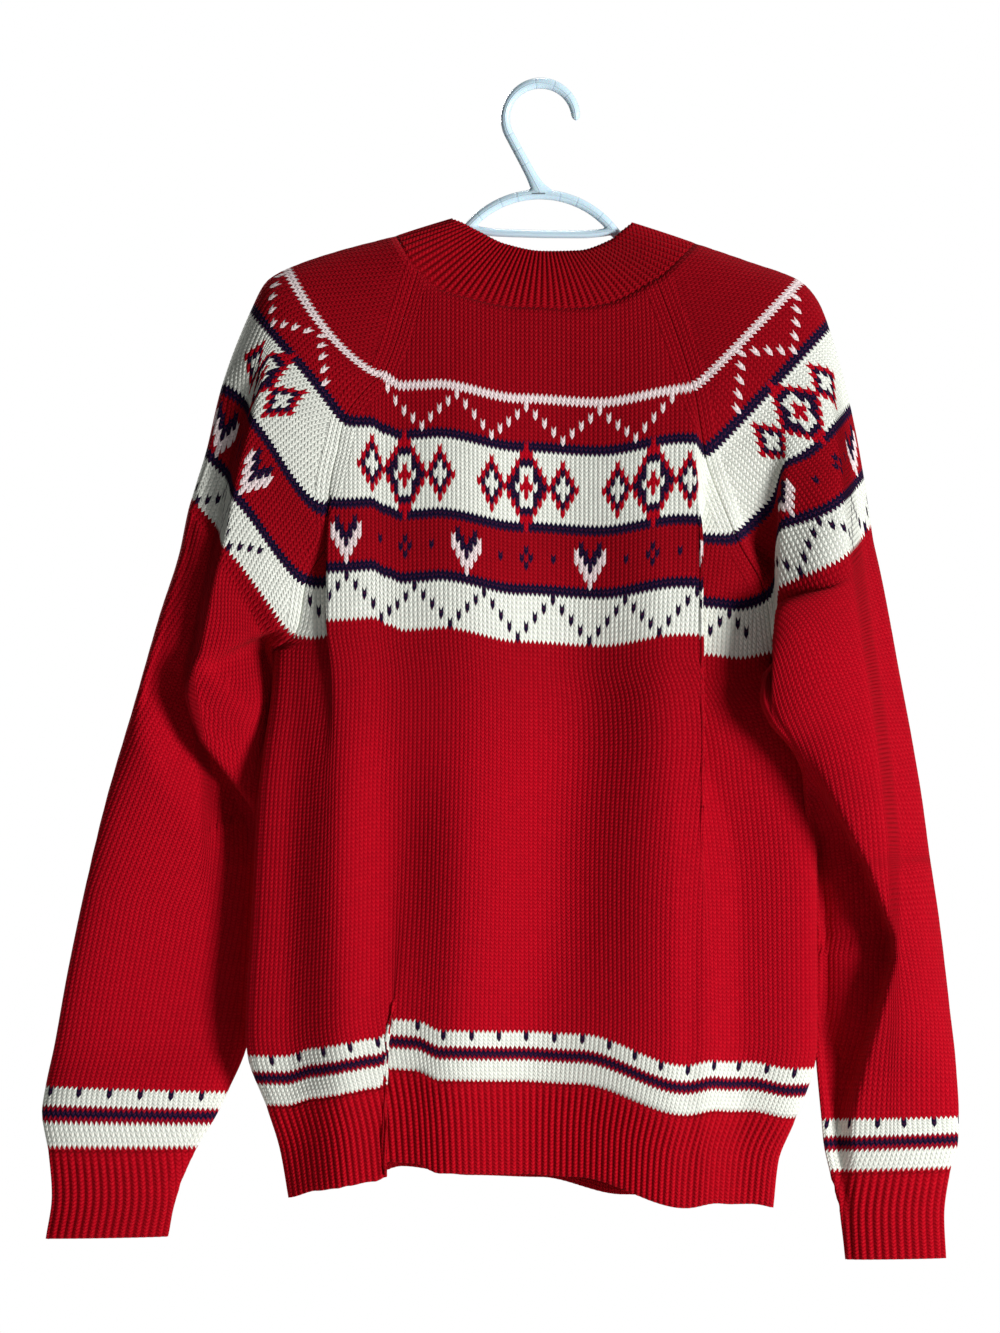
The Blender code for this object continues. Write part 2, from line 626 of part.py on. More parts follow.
class Trims:
    """Moves of a sheet's edge points, which leave the gaps at its seams."""

    def __init__(self, net):
        self.net, self.moves = net, {}

    def add(self, corner, move):
        """Moves one point."""
        self.moves[corner] = self.moves.get(corner, 0.0) + move

    def towards(self, corner, other, amount):
        """Moves one point by an amount towards another point of the sheet."""
        run = self.net.points[other] - self.net.points[corner]
        self.add(corner, run / np.linalg.norm(run) * amount)

    def side(self, row, amount):
        """Moves both ends of a row inwards."""
        first, last = self.net.first[row], self.net.last[row]
        self.towards((row, first), (row, first + 1), amount)
        self.towards((row, last), (row, last - 1), amount)

    def end(self, row, other, amount):
        """Moves a whole row towards another row."""
        for column in range(self.net.first[row], self.net.last[row] + 1):
            self.towards((row, column), (other, self.net.index(other, column)), amount)

    def apart(self, row, amount):
        """Moves both ends of a row along Y, away from the other layer's."""
        for column in (self.net.first[row], self.net.last[row]):
            self.add((row, column), np.array([0, amount, 0]))


def panel_trims(net, yoke, sign):
    """A panel's gaps: to the neckband and the sleeves, to the rib, and to the other panel."""
    trims = Trims(net)
    last = len(net.points) - 1
    trims.end(0, 1, END_GAP)
    trims.end(last, last - 1, END_GAP)
    for row in range(yoke):
        trims.side(row, SIDE_GAP if row < yoke - 2 else UNDERARM_GAP)
    for column, hand in ((net.first[yoke], "left"), (net.last[yoke], "right")):
        trims.towards((yoke, column), (yoke + 1, net.index(yoke + 1, column)), CORNER_GAPS[hand])
    for row in range(yoke, last + 1):
        trims.apart(row, sign * LAYER_GAP)
    return trims.moves


def rib_trims(net, sign):
    """A hem rib's gaps: to its panel and to the other rib."""
    trims = Trims(net)
    trims.end(0, 1, END_GAP)
    for row in range(len(net.points)):
        trims.apart(row, sign * LAYER_GAP)
    return trims.moves


def sleeve_trims(net, yoke):
    """A sleeve's gaps: to the neckband, to the panels, and to the cuff."""
    trims = Trims(net)
    last = len(net.points) - 1
    trims.end(0, 1, END_GAP)
    trims.end(last, last - 1, CUFF_GAP)
    for row in range(yoke):
        trims.side(row, SIDE_GAP if row < yoke - 2 else UNDERARM_GAP)
    first, last = net.first[yoke], net.last[yoke]
    middle = (net.points[yoke, first + 1] + net.points[yoke, last - 1]) / 2
    run = middle - net.points[yoke, first]
    for column in (first, last):
        trims.add((yoke, column), run / np.linalg.norm(run) * CORNER_GAPS[net.tube])
    return trims.moves


def cuff_trims(net):
    """A cuff's gap to its sleeve."""
    trims = Trims(net)
    trims.end(0, 1, CUFF_GAP)
    return trims.moves


def make_material(name, colour, roughness):
    """A plain surface."""
    material = bpy.data.materials.new(name)
    material.use_nodes = True
    surface = material.node_tree.nodes["Principled BSDF"]
    surface.inputs["Base Color"].default_value = colour
    surface.inputs["Roughness"].default_value = roughness
    surface.inputs["Metallic"].default_value = 0.0
    return material


def body_courses(body, layer):
    """All the rows of a panel, neck first."""
    courses = [body.course(layer, 0.0, share) for share in NECK_SHARES]
    return courses + [body.course(layer, row) for row in YOKE_ROWS + BODY_ROWS]


def sleeve_courses(sleeve):
    """All the rows of a sleeve, neck first."""
    courses = [sleeve.course(0.0, share) for share in NECK_SHARES]
    return courses + [sleeve.course(row) for row in YOKE_ROWS + SLEEVE_ROWS]


def panel_columns(step):
    """Stitch columns every step, with one on the middle wale or on the fold over the arm."""
    half = math.ceil(HALF_STITCHES / step) * step
    return np.arange(-half, half + step / 2, step)


def build_cloth(red, rib_red):
    """The nine knitted pieces."""
    body = Body()
    sleeves = {
        "left": Sleeve("left", LEFT_SLEEVE, LEFT_CREASES, body),
        "right": Sleeve("right", RIGHT_SLEEVE, RIGHT_CREASES, body),
    }
    back, front = panel_columns(PANEL_STEP), panel_columns(FRONT_STEP)
    round_arm = np.array(sorted(set(panel_columns(SLEEVE_STEP)) | set(CREST_COLUMNS)))
    yoke = len(NECK_SHARES) + len(YOKE_ROWS)
    hem = {layer: [body.course(layer, row) for row in HEM_ROWS] for layer in ("near", "far")}
    nets = {
        "back_panel": (Net(body_courses(body, "near"), back, "body", yoke), False),
        "front_panel": (Net(body_courses(body, "far"), front, "body", yoke), True),
        "back_hem_rib": (Net(hem["near"], back, "body"), False),
        "front_hem_rib": (Net(hem["far"], front, "body"), True),
    }
    for hand, sleeve in sleeves.items():
        flip = hand == "left"
        cuff = [sleeve.course(row) for row in CUFF_ROWS]
        nets[hand + "_sleeve"] = Net(sleeve_courses(sleeve), round_arm, hand, yoke), flip
        nets[hand + "_cuff"] = Net(cuff, round_arm, hand), flip
    normals = outward_normals(nets.values())
    trims = {
        "back_panel": panel_trims(nets["back_panel"][0], yoke, -1),
        "front_panel": panel_trims(nets["front_panel"][0], yoke, 1),
        "back_hem_rib": rib_trims(nets["back_hem_rib"][0], -1),
        "front_hem_rib": rib_trims(nets["front_hem_rib"][0], 1),
    }
    for hand in sleeves:
        trims[hand + "_sleeve"] = sleeve_trims(nets[hand + "_sleeve"][0], yoke)
        trims[hand + "_cuff"] = cuff_trims(nets[hand + "_cuff"][0])
    for name, (net, flip) in nets.items():
        colour = rib_red if name.endswith(("rib", "cuff")) else red
        new_object(name, lambda build: wall(build, net, normals, flip, trims[name]), colour)
    build_neckband(nets, normals, rib_red)


def neck_seam(nets):
    """The neck edges of the four pieces as one ring: back, right sleeve, front, left sleeve."""
    ring = []
    for name, forward in (("back_panel", 1), ("right_sleeve", 1), ("front_panel", -1), ("left_sleeve", -1)):
        net = nets[name][0]
        edge = net.points[0, net.first[0] : net.last[0] + 1][::forward]
        ring.extend(edge[:-1])
    return np.array(ring)


def band_top(share):
    """The neckband's top edge, at shares of the way round from the left corner along the near layer."""
    near = share < 0.5
    along = np.where(near, share * 2, 2 - share * 2)
    left, right = BAND_TOP_LEFT, BAND_TOP_RIGHT
    x = left[0] + (right[0] - left[0]) * along
    z = left[1] + (right[1] - left[1]) * along
    drop = np.where(near, BAND_NEAR.at("drop", along), BAND_FAR.at("drop", along))
    out = np.where(near, -BAND_NEAR.at("out", along), BAND_FAR.at("out", along))
    return np.stack([x, out, z - drop], axis=-1)


def build_neckband(nets, normals, material):
    """The rib ring, from the neck seam in to its top edge."""
    ring = neck_seam(nets)
    closed = np.concatenate([ring, ring[:1]])
    length = arc_length(closed)
    left, right = length[int(np.argmin(ring[:, 0]))], length[int(np.argmax(ring[:, 0]))]
    shares = np.arange(BAND_COLUMNS) / BAND_COLUMNS
    near_at = left + shares * 2 * (length[-1] - left + right)
    far_at = right + (shares * 2 - 1) * (left - right)
    at = np.mod(np.where(shares < 0.5, near_at, far_at), length[-1])
    seam = np.stack([np.interp(at, length, closed[:, k]) for k in range(3)], axis=1)
    top = band_top(shares)
    points = np.array([seam + (top - seam) * k / BAND_ROWS for k in range(BAND_ROWS + 1)])
    centre = points.mean(axis=(0, 1))
    bulge = points - centre
    bulge[..., 2] = 0
    bulge /= np.linalg.norm(bulge, axis=-1, keepdims=True)
    share = np.arange(BAND_ROWS + 1)[:, None, None] / BAND_ROWS
    points = points + bulge * BAND_BULGE * 4 * share * (1 - share)
    run = points[1] - points[0]
    points[0] += run / np.linalg.norm(run, axis=1, keepdims=True) * BAND_GAP

    def build_band(build):
        around = np.roll(points, -1, axis=1) - np.roll(points, 1, axis=1)
        down = np.gradient(points, axis=0)
        out = np.cross(down, around)
        out /= np.linalg.norm(out, axis=-1, keepdims=True)
        sides = [[build.verts.new(p) for p in row] for row in points]
        inner = [[build.verts.new(p) for p in row] for row in points - out * BAND_WALL]
        count = BAND_COLUMNS
        for c in range(count):
            d = (c + 1) % count
            for r in range(BAND_ROWS):
                build.faces.new([sides[r][c], sides[r][d], sides[r + 1][d], sides[r + 1][c]])
                build.faces.new([inner[r][c], inner[r + 1][c], inner[r + 1][d], inner[r][d]])
            build.faces.new([sides[0][d], sides[0][c], inner[0][c], inner[0][d]])
            build.faces.new([sides[-1][c], sides[-1][d], inner[-1][d], inner[-1][c]])
        bmesh.ops.recalc_face_normals(build, faces=build.faces)

    new_object("neckband", build_band, material)


def sweep(name, path, halves, ends, material):
    """A closed tube along a path of x and z, as high as twice its halves across the path."""
    path, halves = np.array(path), np.array(halves)
    run = np.gradient(path, axis=0)
    run /= np.linalg.norm(run, axis=1, keepdims=True)
    across = np.stack([-run[:, 1], run[:, 0]], axis=1)
    length = np.concatenate([[0], np.cumsum(np.linalg.norm(np.diff(path, axis=0), axis=1))])
    scale = np.ones(len(path))
    for rounded, distance in zip(ends, (length, length[-1] - length)):
        if rounded:
            scale *= blunt(1 - np.clip(distance / ROUND_END, 0, 1), 2.0).clip(ROUND_LEAST, 1)
    turn = (np.arange(TUBE_SIDES) + 0.5) * 2 * math.pi / TUBE_SIDES

    def build_tube(build):
        rings = []
        for centre, side, half, share in zip(path, across, halves, scale):
            ring = []
            for angle in turn:
                x, z = centre + side * half * share * math.sin(angle)
                ring.append(build.verts.new((x, DEPTH * share * math.cos(angle), z)))
            rings.append(ring)
        for ring, following in zip(rings, rings[1:]):
            for k in range(TUBE_SIDES):
                n = (k + 1) % TUBE_SIDES
                build.faces.new([ring[k], ring[n], following[n], following[k]])
        build.faces.new(rings[0])
        build.faces.new(rings[-1])
        bmesh.ops.recalc_face_normals(build, faces=build.faces)

    return new_object(name, build_tube, material)


def tilted(along, drop):
    """The place of a point of the arms, given along them and down from the arch's crown."""
    cos, sin = math.cos(TILT), math.sin(TILT)
    return HUB[0] + along * cos - drop * sin, HUB[1] - along * sin - drop * cos


def arm_drop(along):
    """How far the middle line of the arch and its arms lies below the crown."""
    reach = abs(along)
    radius = (ARCH_HALF_SPAN**2 + ARCH_DROP**2) / (2 * ARCH_DROP)
    if reach <= ARCH_HALF_SPAN:
        return radius - math.sqrt(radius**2 - reach**2)
    return ARCH_DROP + (reach - ARCH_HALF_SPAN) * math.tan(ARM_SLOPE)


def build_hanger(material):
    """The hook, arch, arms and brace, joined into one moulding."""
    rounding = [ARM_END - ROUND_END * share for share in ROUND_SHARES]
    reach = list(np.arange(ARM_STEP / 2, ARM_END - ROUND_END - 1, ARM_STEP)) + rounding
    along = [-r for r in reach[::-1]] + reach
    halves = [float(ARCH_HALF.at("half", abs(r))) for r in along]
    hanger = sweep("hanger", [tilted(r, arm_drop(r)) for r in along], halves, (True, True), material)
    angles = np.linspace(HOOK_START, HOOK_END, HOOK_STEPS)
    centre = np.array(HOOK_CENTRE)
    arc = centre + HOOK_RADIUS * np.stack([np.cos(angles), np.sin(angles)], axis=1)
    shares = np.linspace(0, 1, NECK_STEPS + 1)[1:]
    neck = arc[-1] + (np.array(HUB) - arc[-1]) * shares[:, None]
    halves = list(HOOK_HALF.at("half", np.linspace(0, 1, HOOK_STEPS))) + list(NECK_HALF.at("half", shares))
    hook = sweep("hook cutter", np.concatenate([arc, neck]), halves, (True, False), material)
    along = np.arange(-BRACE_STEP * 6, BRACE_STEP * 6.5, BRACE_STEP)
    path = [tilted(a, float(BRACE.at("drop", abs(a)))) for a in along]
    brace = sweep("brace cutter", path, [BRACE_HALF] * len(path), (False, False), material)
    for part in (hook, brace):
        part.hide_render = True
        part.display_type = "WIRE"
        union = hanger.modifiers.new(part.name, "BOOLEAN")
        union.operation = "UNION"
        union.solver = "EXACT"
        union.object = part


def clear_scene():
    """Leaves an empty scene."""
    for piece in list(bpy.data.objects):
        bpy.data.objects.remove(piece, do_unlink=True)


def main():
    """Builds every piece."""
    clear_scene()
    red = make_material("red wool blend", RED, 0.85)
    rib_red = make_material("red rib", DEEP_RED, 0.85)
    build_cloth(red, rib_red)
    build_hanger(make_material("pale blue plastic", PALE_BLUE, 0.35))


main()
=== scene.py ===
"""Fair isle jumper on a moulded hanger, as it looks: nine knitted pieces and the hanger.

Lengths in the tables are millimetres and the frame's are metres. The near side is the jumper's back
and faces -Y. A row is one row of the knitted pattern, two courses tall, counted down from the white
line across the yoke. A stitch is one wale.
"""

from __future__ import annotations

import json
import logging
import math
from collections.abc import Sequence
from dataclasses import dataclass, field
from enum import Enum

import bmesh
import bpy
import numpy as np
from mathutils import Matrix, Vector

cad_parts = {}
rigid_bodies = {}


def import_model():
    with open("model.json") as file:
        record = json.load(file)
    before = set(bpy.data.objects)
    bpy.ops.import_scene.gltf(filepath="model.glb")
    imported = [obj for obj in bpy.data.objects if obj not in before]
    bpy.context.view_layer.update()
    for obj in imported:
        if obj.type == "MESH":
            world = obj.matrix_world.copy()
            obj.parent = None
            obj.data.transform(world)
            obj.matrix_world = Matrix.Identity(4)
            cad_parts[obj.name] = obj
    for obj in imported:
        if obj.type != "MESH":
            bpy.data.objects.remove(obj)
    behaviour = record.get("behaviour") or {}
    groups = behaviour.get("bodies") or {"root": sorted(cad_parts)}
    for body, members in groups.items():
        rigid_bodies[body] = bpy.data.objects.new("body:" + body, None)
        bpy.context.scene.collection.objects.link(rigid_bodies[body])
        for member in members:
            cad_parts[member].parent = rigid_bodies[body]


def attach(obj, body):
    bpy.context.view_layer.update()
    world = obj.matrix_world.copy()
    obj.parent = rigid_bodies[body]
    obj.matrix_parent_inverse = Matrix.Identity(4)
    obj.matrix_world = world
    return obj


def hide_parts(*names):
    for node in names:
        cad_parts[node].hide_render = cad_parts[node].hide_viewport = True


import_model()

LOG = logging.getLogger("jumper")
MM = 0.001  # metres in a millimetre
ROOT = "root"

# Knitting
STITCH = 3.7  # width of a stitch
ROW = 5.75  # height of a row of the pattern
WALL = 1.9  # thickness of the knitting under its wales
BAND_WALL = 2.6  # thickness of the neckband, which is doubled
WALE_DEPTH = 0.5  # of the groove between two wales
RIB_DEPTH = 1.2  # of the groove between two ribs
RIB_STITCHES = 1.5  # stitches from one rib to the next
HALF_STITCHES = 67  # stitches from the middle of a panel to its side seam
MIDDLE = -10.0  # x of the wale in the middle of both panels
UNDERARM = 31.0  # row where the raglan seams end
RIB_START = 87.5  # row where the hem rib starts
HEM = 99.5  # last row of the hem rib
CUFF_START = 111.5  # row where a cuff's rib starts
CUFF_END = 123.0  # last row of a cuff
CREASE_WIDTH = 18.0  # across which a crease steps down
CREASE_LAP = 0.4 * CREASE_WIDTH  # across which its two sides move over each other
CREASE_START = 0.12  # shares of a row over which creases fade in at its seam
CREASE_END = 0.08  # and out at the fold over the arm
SIDE_SHARE = 0.08  # share of the width where the far rows come level with the near ones
SLEEVE_ROUND = 2.2  # how bluntly a sleeve runs from its seam to the fold over the arm
DIP_PEAK = 6.75  # brings the highest value of share * (1 - share) ** 2 to 1

# Meshes
PER_STITCH = 4  # columns of points in a stitch
SEAM_WALES = 3  # wales that follow a seam, on each side of it
MOST_SEAM = 0.45  # the most of a row's width that they take on one side
NEAREST = 0.12  # share of a column's width within which two columns are one
NECK_STEPS = 14  # rows of points in each part
YOKE_STEPS = 40
BODY_STEPS = 50
ARM_STEPS = 88
RIB_STEPS = 14
WALE_ROUND = 0.6  # how bluntly a wale's crest is rounded
RIB_ROUND = 0.75
RIB_FADE = 1.2  # rows over which ribs rise from their seam
WALE_FADE = 0.5
RIB_FOLLOW = 0.85  # how far the inner side goes in and out with the ribs
WALE_FOLLOW = 0.3
SEAM_DEPTH = 0.3  # depth of a seam across the wales
MATCH = 50  # points that agree to a part of a millimetre are one
DENSE = 641  # samples along a course before it is cut into stitches
BAKE_EDGE = 0.002  # share of the bake map's width left free on each side
OUTER_BAKE = (0.005, 0.62)  # shares of its height
INNER_BAKE = (0.64, 0.94)
RIM_BAKE = (0.96, 0.99)

Rows = tuple[tuple[float, ...], ...]
Colour = tuple[float, float, float, float]


class Layer(Enum):
    """The two layers of a flat-hung tube of cloth."""

    NEAR = "near"
    FAR = "far"


class Hand(Enum):
    """The side an arm hangs on, as the near side is seen."""

    LEFT = "left"
    RIGHT = "right"


class Relief(Enum):
    """How the wales stand out of a piece."""

    PLAIN = "plain"
    RIB = "rib"


class Table:
    """Rows of named columns, read at any value of the first column."""

    def __init__(self, columns: str, rows: Rows) -> None:
        """Keeps the columns.

        Args:
            columns: The columns' names, with spaces between them.
            rows: One tuple of numbers a row, in rising order of the first column.
        """
        self.columns = dict(zip(columns.split(), (np.array(c, float) for c in zip(*rows))))
        self.key = columns.split()[0]

    def at(self, name: str, where: np.ndarray | float) -> np.ndarray:
        """Reads a column through a smooth curve that doesn't overshoot its rows.

        Args:
            name: The column to read.
            where: One or more values of the first column.

        Returns:
            The column's value at each of them.
        """
        x, y = self.columns[self.key], self.columns[name]
        where = np.clip(where, x[0], x[-1])
        step = np.diff(x)
        slope = np.diff(y) / step
        tangent = np.zeros_like(y)
        same = slope[:-1] * slope[1:] > 0
        harmonic = 2 * slope[:-1] * slope[1:] / np.where(same, slope[:-1] + slope[1:], 1)
        tangent[1:-1] = np.where(same, harmonic, 0)
        tangent[0], tangent[-1] = slope[0], slope[-1]
        k = np.clip(np.searchsorted(x, where, side="right") - 1, 0, len(step) - 1)
        t = (where - x[k]) / step[k]
        return (
            y[k] * (1 + 2 * t) * (1 - t) ** 2
            + tangent[k] * step[k] * t * (1 - t) ** 2
            + y[k + 1] * t * t * (3 - 2 * t)
            + tangent[k + 1] * step[k] * t * t * (t - 1)
        )


# The tube of the body. near and far are how far the two layers stand off the side seams,
# which lie at seam_left and seam_right behind the near layer's middle.
BODY = Table(
    "row level left right near far seam_left seam_right",
    (
        (-14.5, -141.1, -190, 172, 18, 13, -3, -2),
        (0.0, -224.6, -190, 172, 26, 16, -4, -3),
        (16.0, -316.8, -190, 172, 30, 19, -6, -4),
        (24.0, -361.4, -190, 171, 30, 21, -8, -4),
        (31.0, -408.2, -190.8, 170, 28, 24, -10, -4),
        (37.0, -441.9, -193.5, 192, 26, 26, -12, -4),
        (43.0, -475.6, -198.5, 199.4, 25, 27, -13, -4),
        (49.0, -509.3, -202.5, 199.4, 25, 28, -13, -5),
        (65.0, -599.2, -208.0, 199.4, 26, 29, -13, -8),
        (78.0, -672.2, -211.7, 199.4, 27, 30, -13, -10),
        (81.0, -689.0, -210.2, 197.0, 27, 30, -13, -10),
        (87.5, -725.0, -197.0, 184.0, 26, 29, -12, -10),
        (93.0, -757.0, -187.0, 171.5, 24, 26, -11, -9),
        (99.5, -791.3, -181.0, 167.8, 24, 26, -11, -9),
    ),
)

# How squarely a layer of the body leaves its side seams.
CROWN_ROUNDS = {Layer.NEAR: 3.6, Layer.FAR: 2.6}

# Where the raglan seams cross the rows.
SEAMS = Table(
    "row near_left near_right far_left far_right",
    (
        (-14.5, -87.8, 82.8, -74, 70),
        (-9.5, -96, 92, -84, 80),
        (0.0, -113, 109.4, -106, 102),
        (6.0, -140.4, 118.1, -124, 114),
        (16.0, -151.2, 140.4, -146, 134),
        (24.0, -168.5, 162.0, -166, 152),
        (29.0, -174.2, 167.0, -180, 164),
        (31.0, -190.8, 170.0, -190.8, 170.0),
    ),
)

# How far the rows rise on a raglan seam, where they turn from panel to sleeve, and how widely.
TURN = Table("row rise", ((-14.5, 0), (-6, 4), (4, 5), (26, 5), (31, 0)))
TURN_WIDTH = 9.0

# Neck edge: the row it lies on at shares of the way between the raglan seams.
BACK_NECK = Table(
    "share row", ((0, -14.5), (0.1, -11.8), (0.25, -11.4), (0.6, -11.6), (0.85, -12.8), (1, -14.5))
)
FRONT_NECK = Table("share row", ((0, -9.5), (0.2, -6.4), (0.5, -5.2), (0.8, -6.4), (1, -9.5)))
SLEEVE_NECK = Table("share row", ((0, -14.5), (0.5, -14.2), (1, -9.5)))

# Lines down the layers of the body, from left to right. x is a line's place, lift is how far the rows
# rise there, and out is how far the cloth stands out there.
LIFT_COLUMNS = "x_yoke x_body x_hem lift_yoke lift_hem"
LIFT_ROWS = (UNDERARM, 81.0)
FOLD_COLUMNS = "x_yoke x_chest x_body x_hem out_neck out_yoke out_chest out_body out_hem"
PLACE_ROWS = {LIFT_COLUMNS: (14.0, 52.0, 92.0), FOLD_COLUMNS: (14.0, 38.0, 60.0, 92.0)}
OUT_ROWS = (-12.0, 14.0, 38.0, 60.0, 92.0)

BACK_LIFTS: Rows = (
    (-186, -187, -183, 3, -7), (-166, -168, -160, 2, -1), (-157, -157, -146, 4, 1),
    (-146, -145, -137, 15, 3), (-121, -116, -123, 17, 6), (-111, -105, -118, 12, 9),
    (-100, -93, -104, 8, 20), (-87, -80, -91, 9, 19), (-74, -65, -72, 10, 12), (-14, -14, -18, 0, 11),
    (43, 43, 25, -3, 9), (100, 101, 105, 5, -13), (110, 111, 126, 4, -10), (120, 122, 138, -9, -11),
    (142, 143, 151, -12, -11), (172, 180, 180, -8, -16),
)
BACK_FOLDS: Rows = (
    (-180, -182, -186, -184, 0, -3, -7, -8, -8),
    (-140, -137, -144, -140, 0, 5, 7, 9, 7),
    (-108, -106, -104, -104, 0, 1, 3, -5, 0),
    (-56, -52, -54, -64, 0, 5, 9, 10, 7),
    (14, 27, 17, 0, -1, -6, -12, -13, -7),
    (90, 94, 94, 92, 0, 6, 10, 10, 9),
    (111, 112, 114, 112, 0, 8, 8, 5, 6),
    (122, 124, 146, 148, 0, -9, -11, -8, -8),
    (158, 160, 196, 184, 0, -11, -12, -2, -3),
)

# The far layer's, gentler because it hangs against what the hook is fixed to.
FRONT_LIFTS: Rows = (
    (-175, -180, -170, 0, 2), (-140, -135, -130, 4, 6), (-92, -90, -100, 3, 14), (-40, -45, -50, 0, 8),
    (8, 10, 0, -2, 6), (52, 55, 60, -1, -6), (104, 108, 112, 3, -8), (146, 152, 150, 2, -3),
)
FRONT_FOLDS: Rows = (
    (-175, -178, -180, -170, 0, 0, 2, 3, 3),
    (-140, -137, -135, -130, 0, 2, -2, -5, -4),
    (-92, -91, -90, -100, 0, 0, 2, 4, 5),
    (-40, -43, -45, -50, 0, -2, -3, -4, -5),
    (8, 9, 10, 0, 0, 2, 3, 4, 5),
    (52, 54, 55, 60, 0, -2, -4, -5, -4),
    (104, 106, 108, 112, 0, 1, 3, 4, 4),
    (146, 149, 152, 150, 0, 1, -2, -4, -3),
)

# Sharp folds of the near layer, where one side laps over the other: the fold's place across and how
# far each side moves over it.
TUCKS = {
    "right chest": Table(
        "row x lap",
        (
            (5, 112, 0), (12, 113, 3), (17, 114, 8), (26, 114, 9), (42, 115, 9), (52, 116, 6),
            (62, 117, 2), (72, 118, 0),
        ),
    ),
    "left chest": Table(
        "row x lap",
        (
            (10, -151, 0), (16, -151, 5), (22, -151, 8), (29, -151, 8), (36, -150, 4), (46, -149, 0),
        ),
    ),
    "hem": Table("row x lap", ((66, -98, 0), (78, -105, 4), (84, -110, 7), (99.5, -111, 7))),
}
TUCK_WIDTH = 7.0

SLEEVE_COLUMNS = "row inner_x inner_z inner_y outer_x outer_z outer_y near far sag round lap"

# A sleeve's sections. Down to the underarm the inner end is on the body's seams. sag lowers a row's
# middle, near and far are the depths of the two layers' crests, and round and lap are how bluntly
# the near and the far layer leave the inner end.
LEFT_SLEEVE = Table(
    SLEEVE_COLUMNS,
    (
        (-14.5, 0, 0, 0, -102.2, -106.6, 0, 20, 14, 0, 1.0, 1.2),
        (-7.0, 0, 0, 0, -146.0, -117.7, 0, 26, 16, 8, 1.0, 1.2),
        (0.0, 0, 0, 0, -182.0, -130.2, 0, 32, 18, 14, 1.1, 1.2),
        (2.5, 0, 0, 0, -196.6, -139.0, 0, 33, 19, 10, 1.1, 1.2),
        (6.0, 0, 0, 0, -207.4, -158.5, 0, 35, 20, 1, 1.1, 1.2),
        (16.0, 0, 0, 0, -229.7, -216.7, 0, 39, 22, -18, 1.2, 1.2),
        (24.0, 0, 0, 0, -240.5, -262.1, 0, 41, 23, -5, 1.3, 1.2),
        (29.0, 0, 0, 0, -249.8, -292.3, 0, 41, 23, -2, 1.4, 1.2),
        (31.0, -190.8, -405.2, -10, -253.0, -303.0, 0, 41, 23, -2, 1.4, 1.2),
        (36.7, -188.0, -428.0, -2, -259.9, -335.5, 0, 39, 22, 3, 1.6, 1.8),
        (44.4, -192.5, -459.0, 2, -273.6, -378.0, 1, 36, 21, 4, 1.8, 2.2),
        (55.7, -197.5, -503.0, 4, -291.6, -440.6, 2, 28, 20, 0, 1.3, 2.2),
        (70.6, -202.0, -566.0, 9, -315.4, -523.4, 2, 20, 19, 0, 1.05, 2.2),
        (90.0, -206.5, -648.0, 9, -339.8, -633.6, 2, 17, 17, 0, 1.05, 2.2),
        (99.0, -210.5, -688.0, 5, -350.0, -690.0, 2, 16, 15, 0, 1.1, 2.2),
        (105.0, -225.4, -724.3, 2, -356.4, -720.0, 2, 18, 13, 0, 2.0, 2.2),
        (108.0, -233.0, -740.0, 1, -358.8, -738.0, 1, 15, 11, 0, 2.2, 2.2),
        (111.5, -247.5, -764.5, 0, -354.5, -764.5, 0, 12, 9, 0, 2.2, 2.2),
        (117.0, -261.0, -797.0, 0, -352.0, -797.0, 0, 11, 8, 0, 2.2, 2.2),
        (123.0, -267.1, -827.0, 0, -356.4, -828.5, 0, 11, 8, 0, 2.2, 2.2),
    ),
)
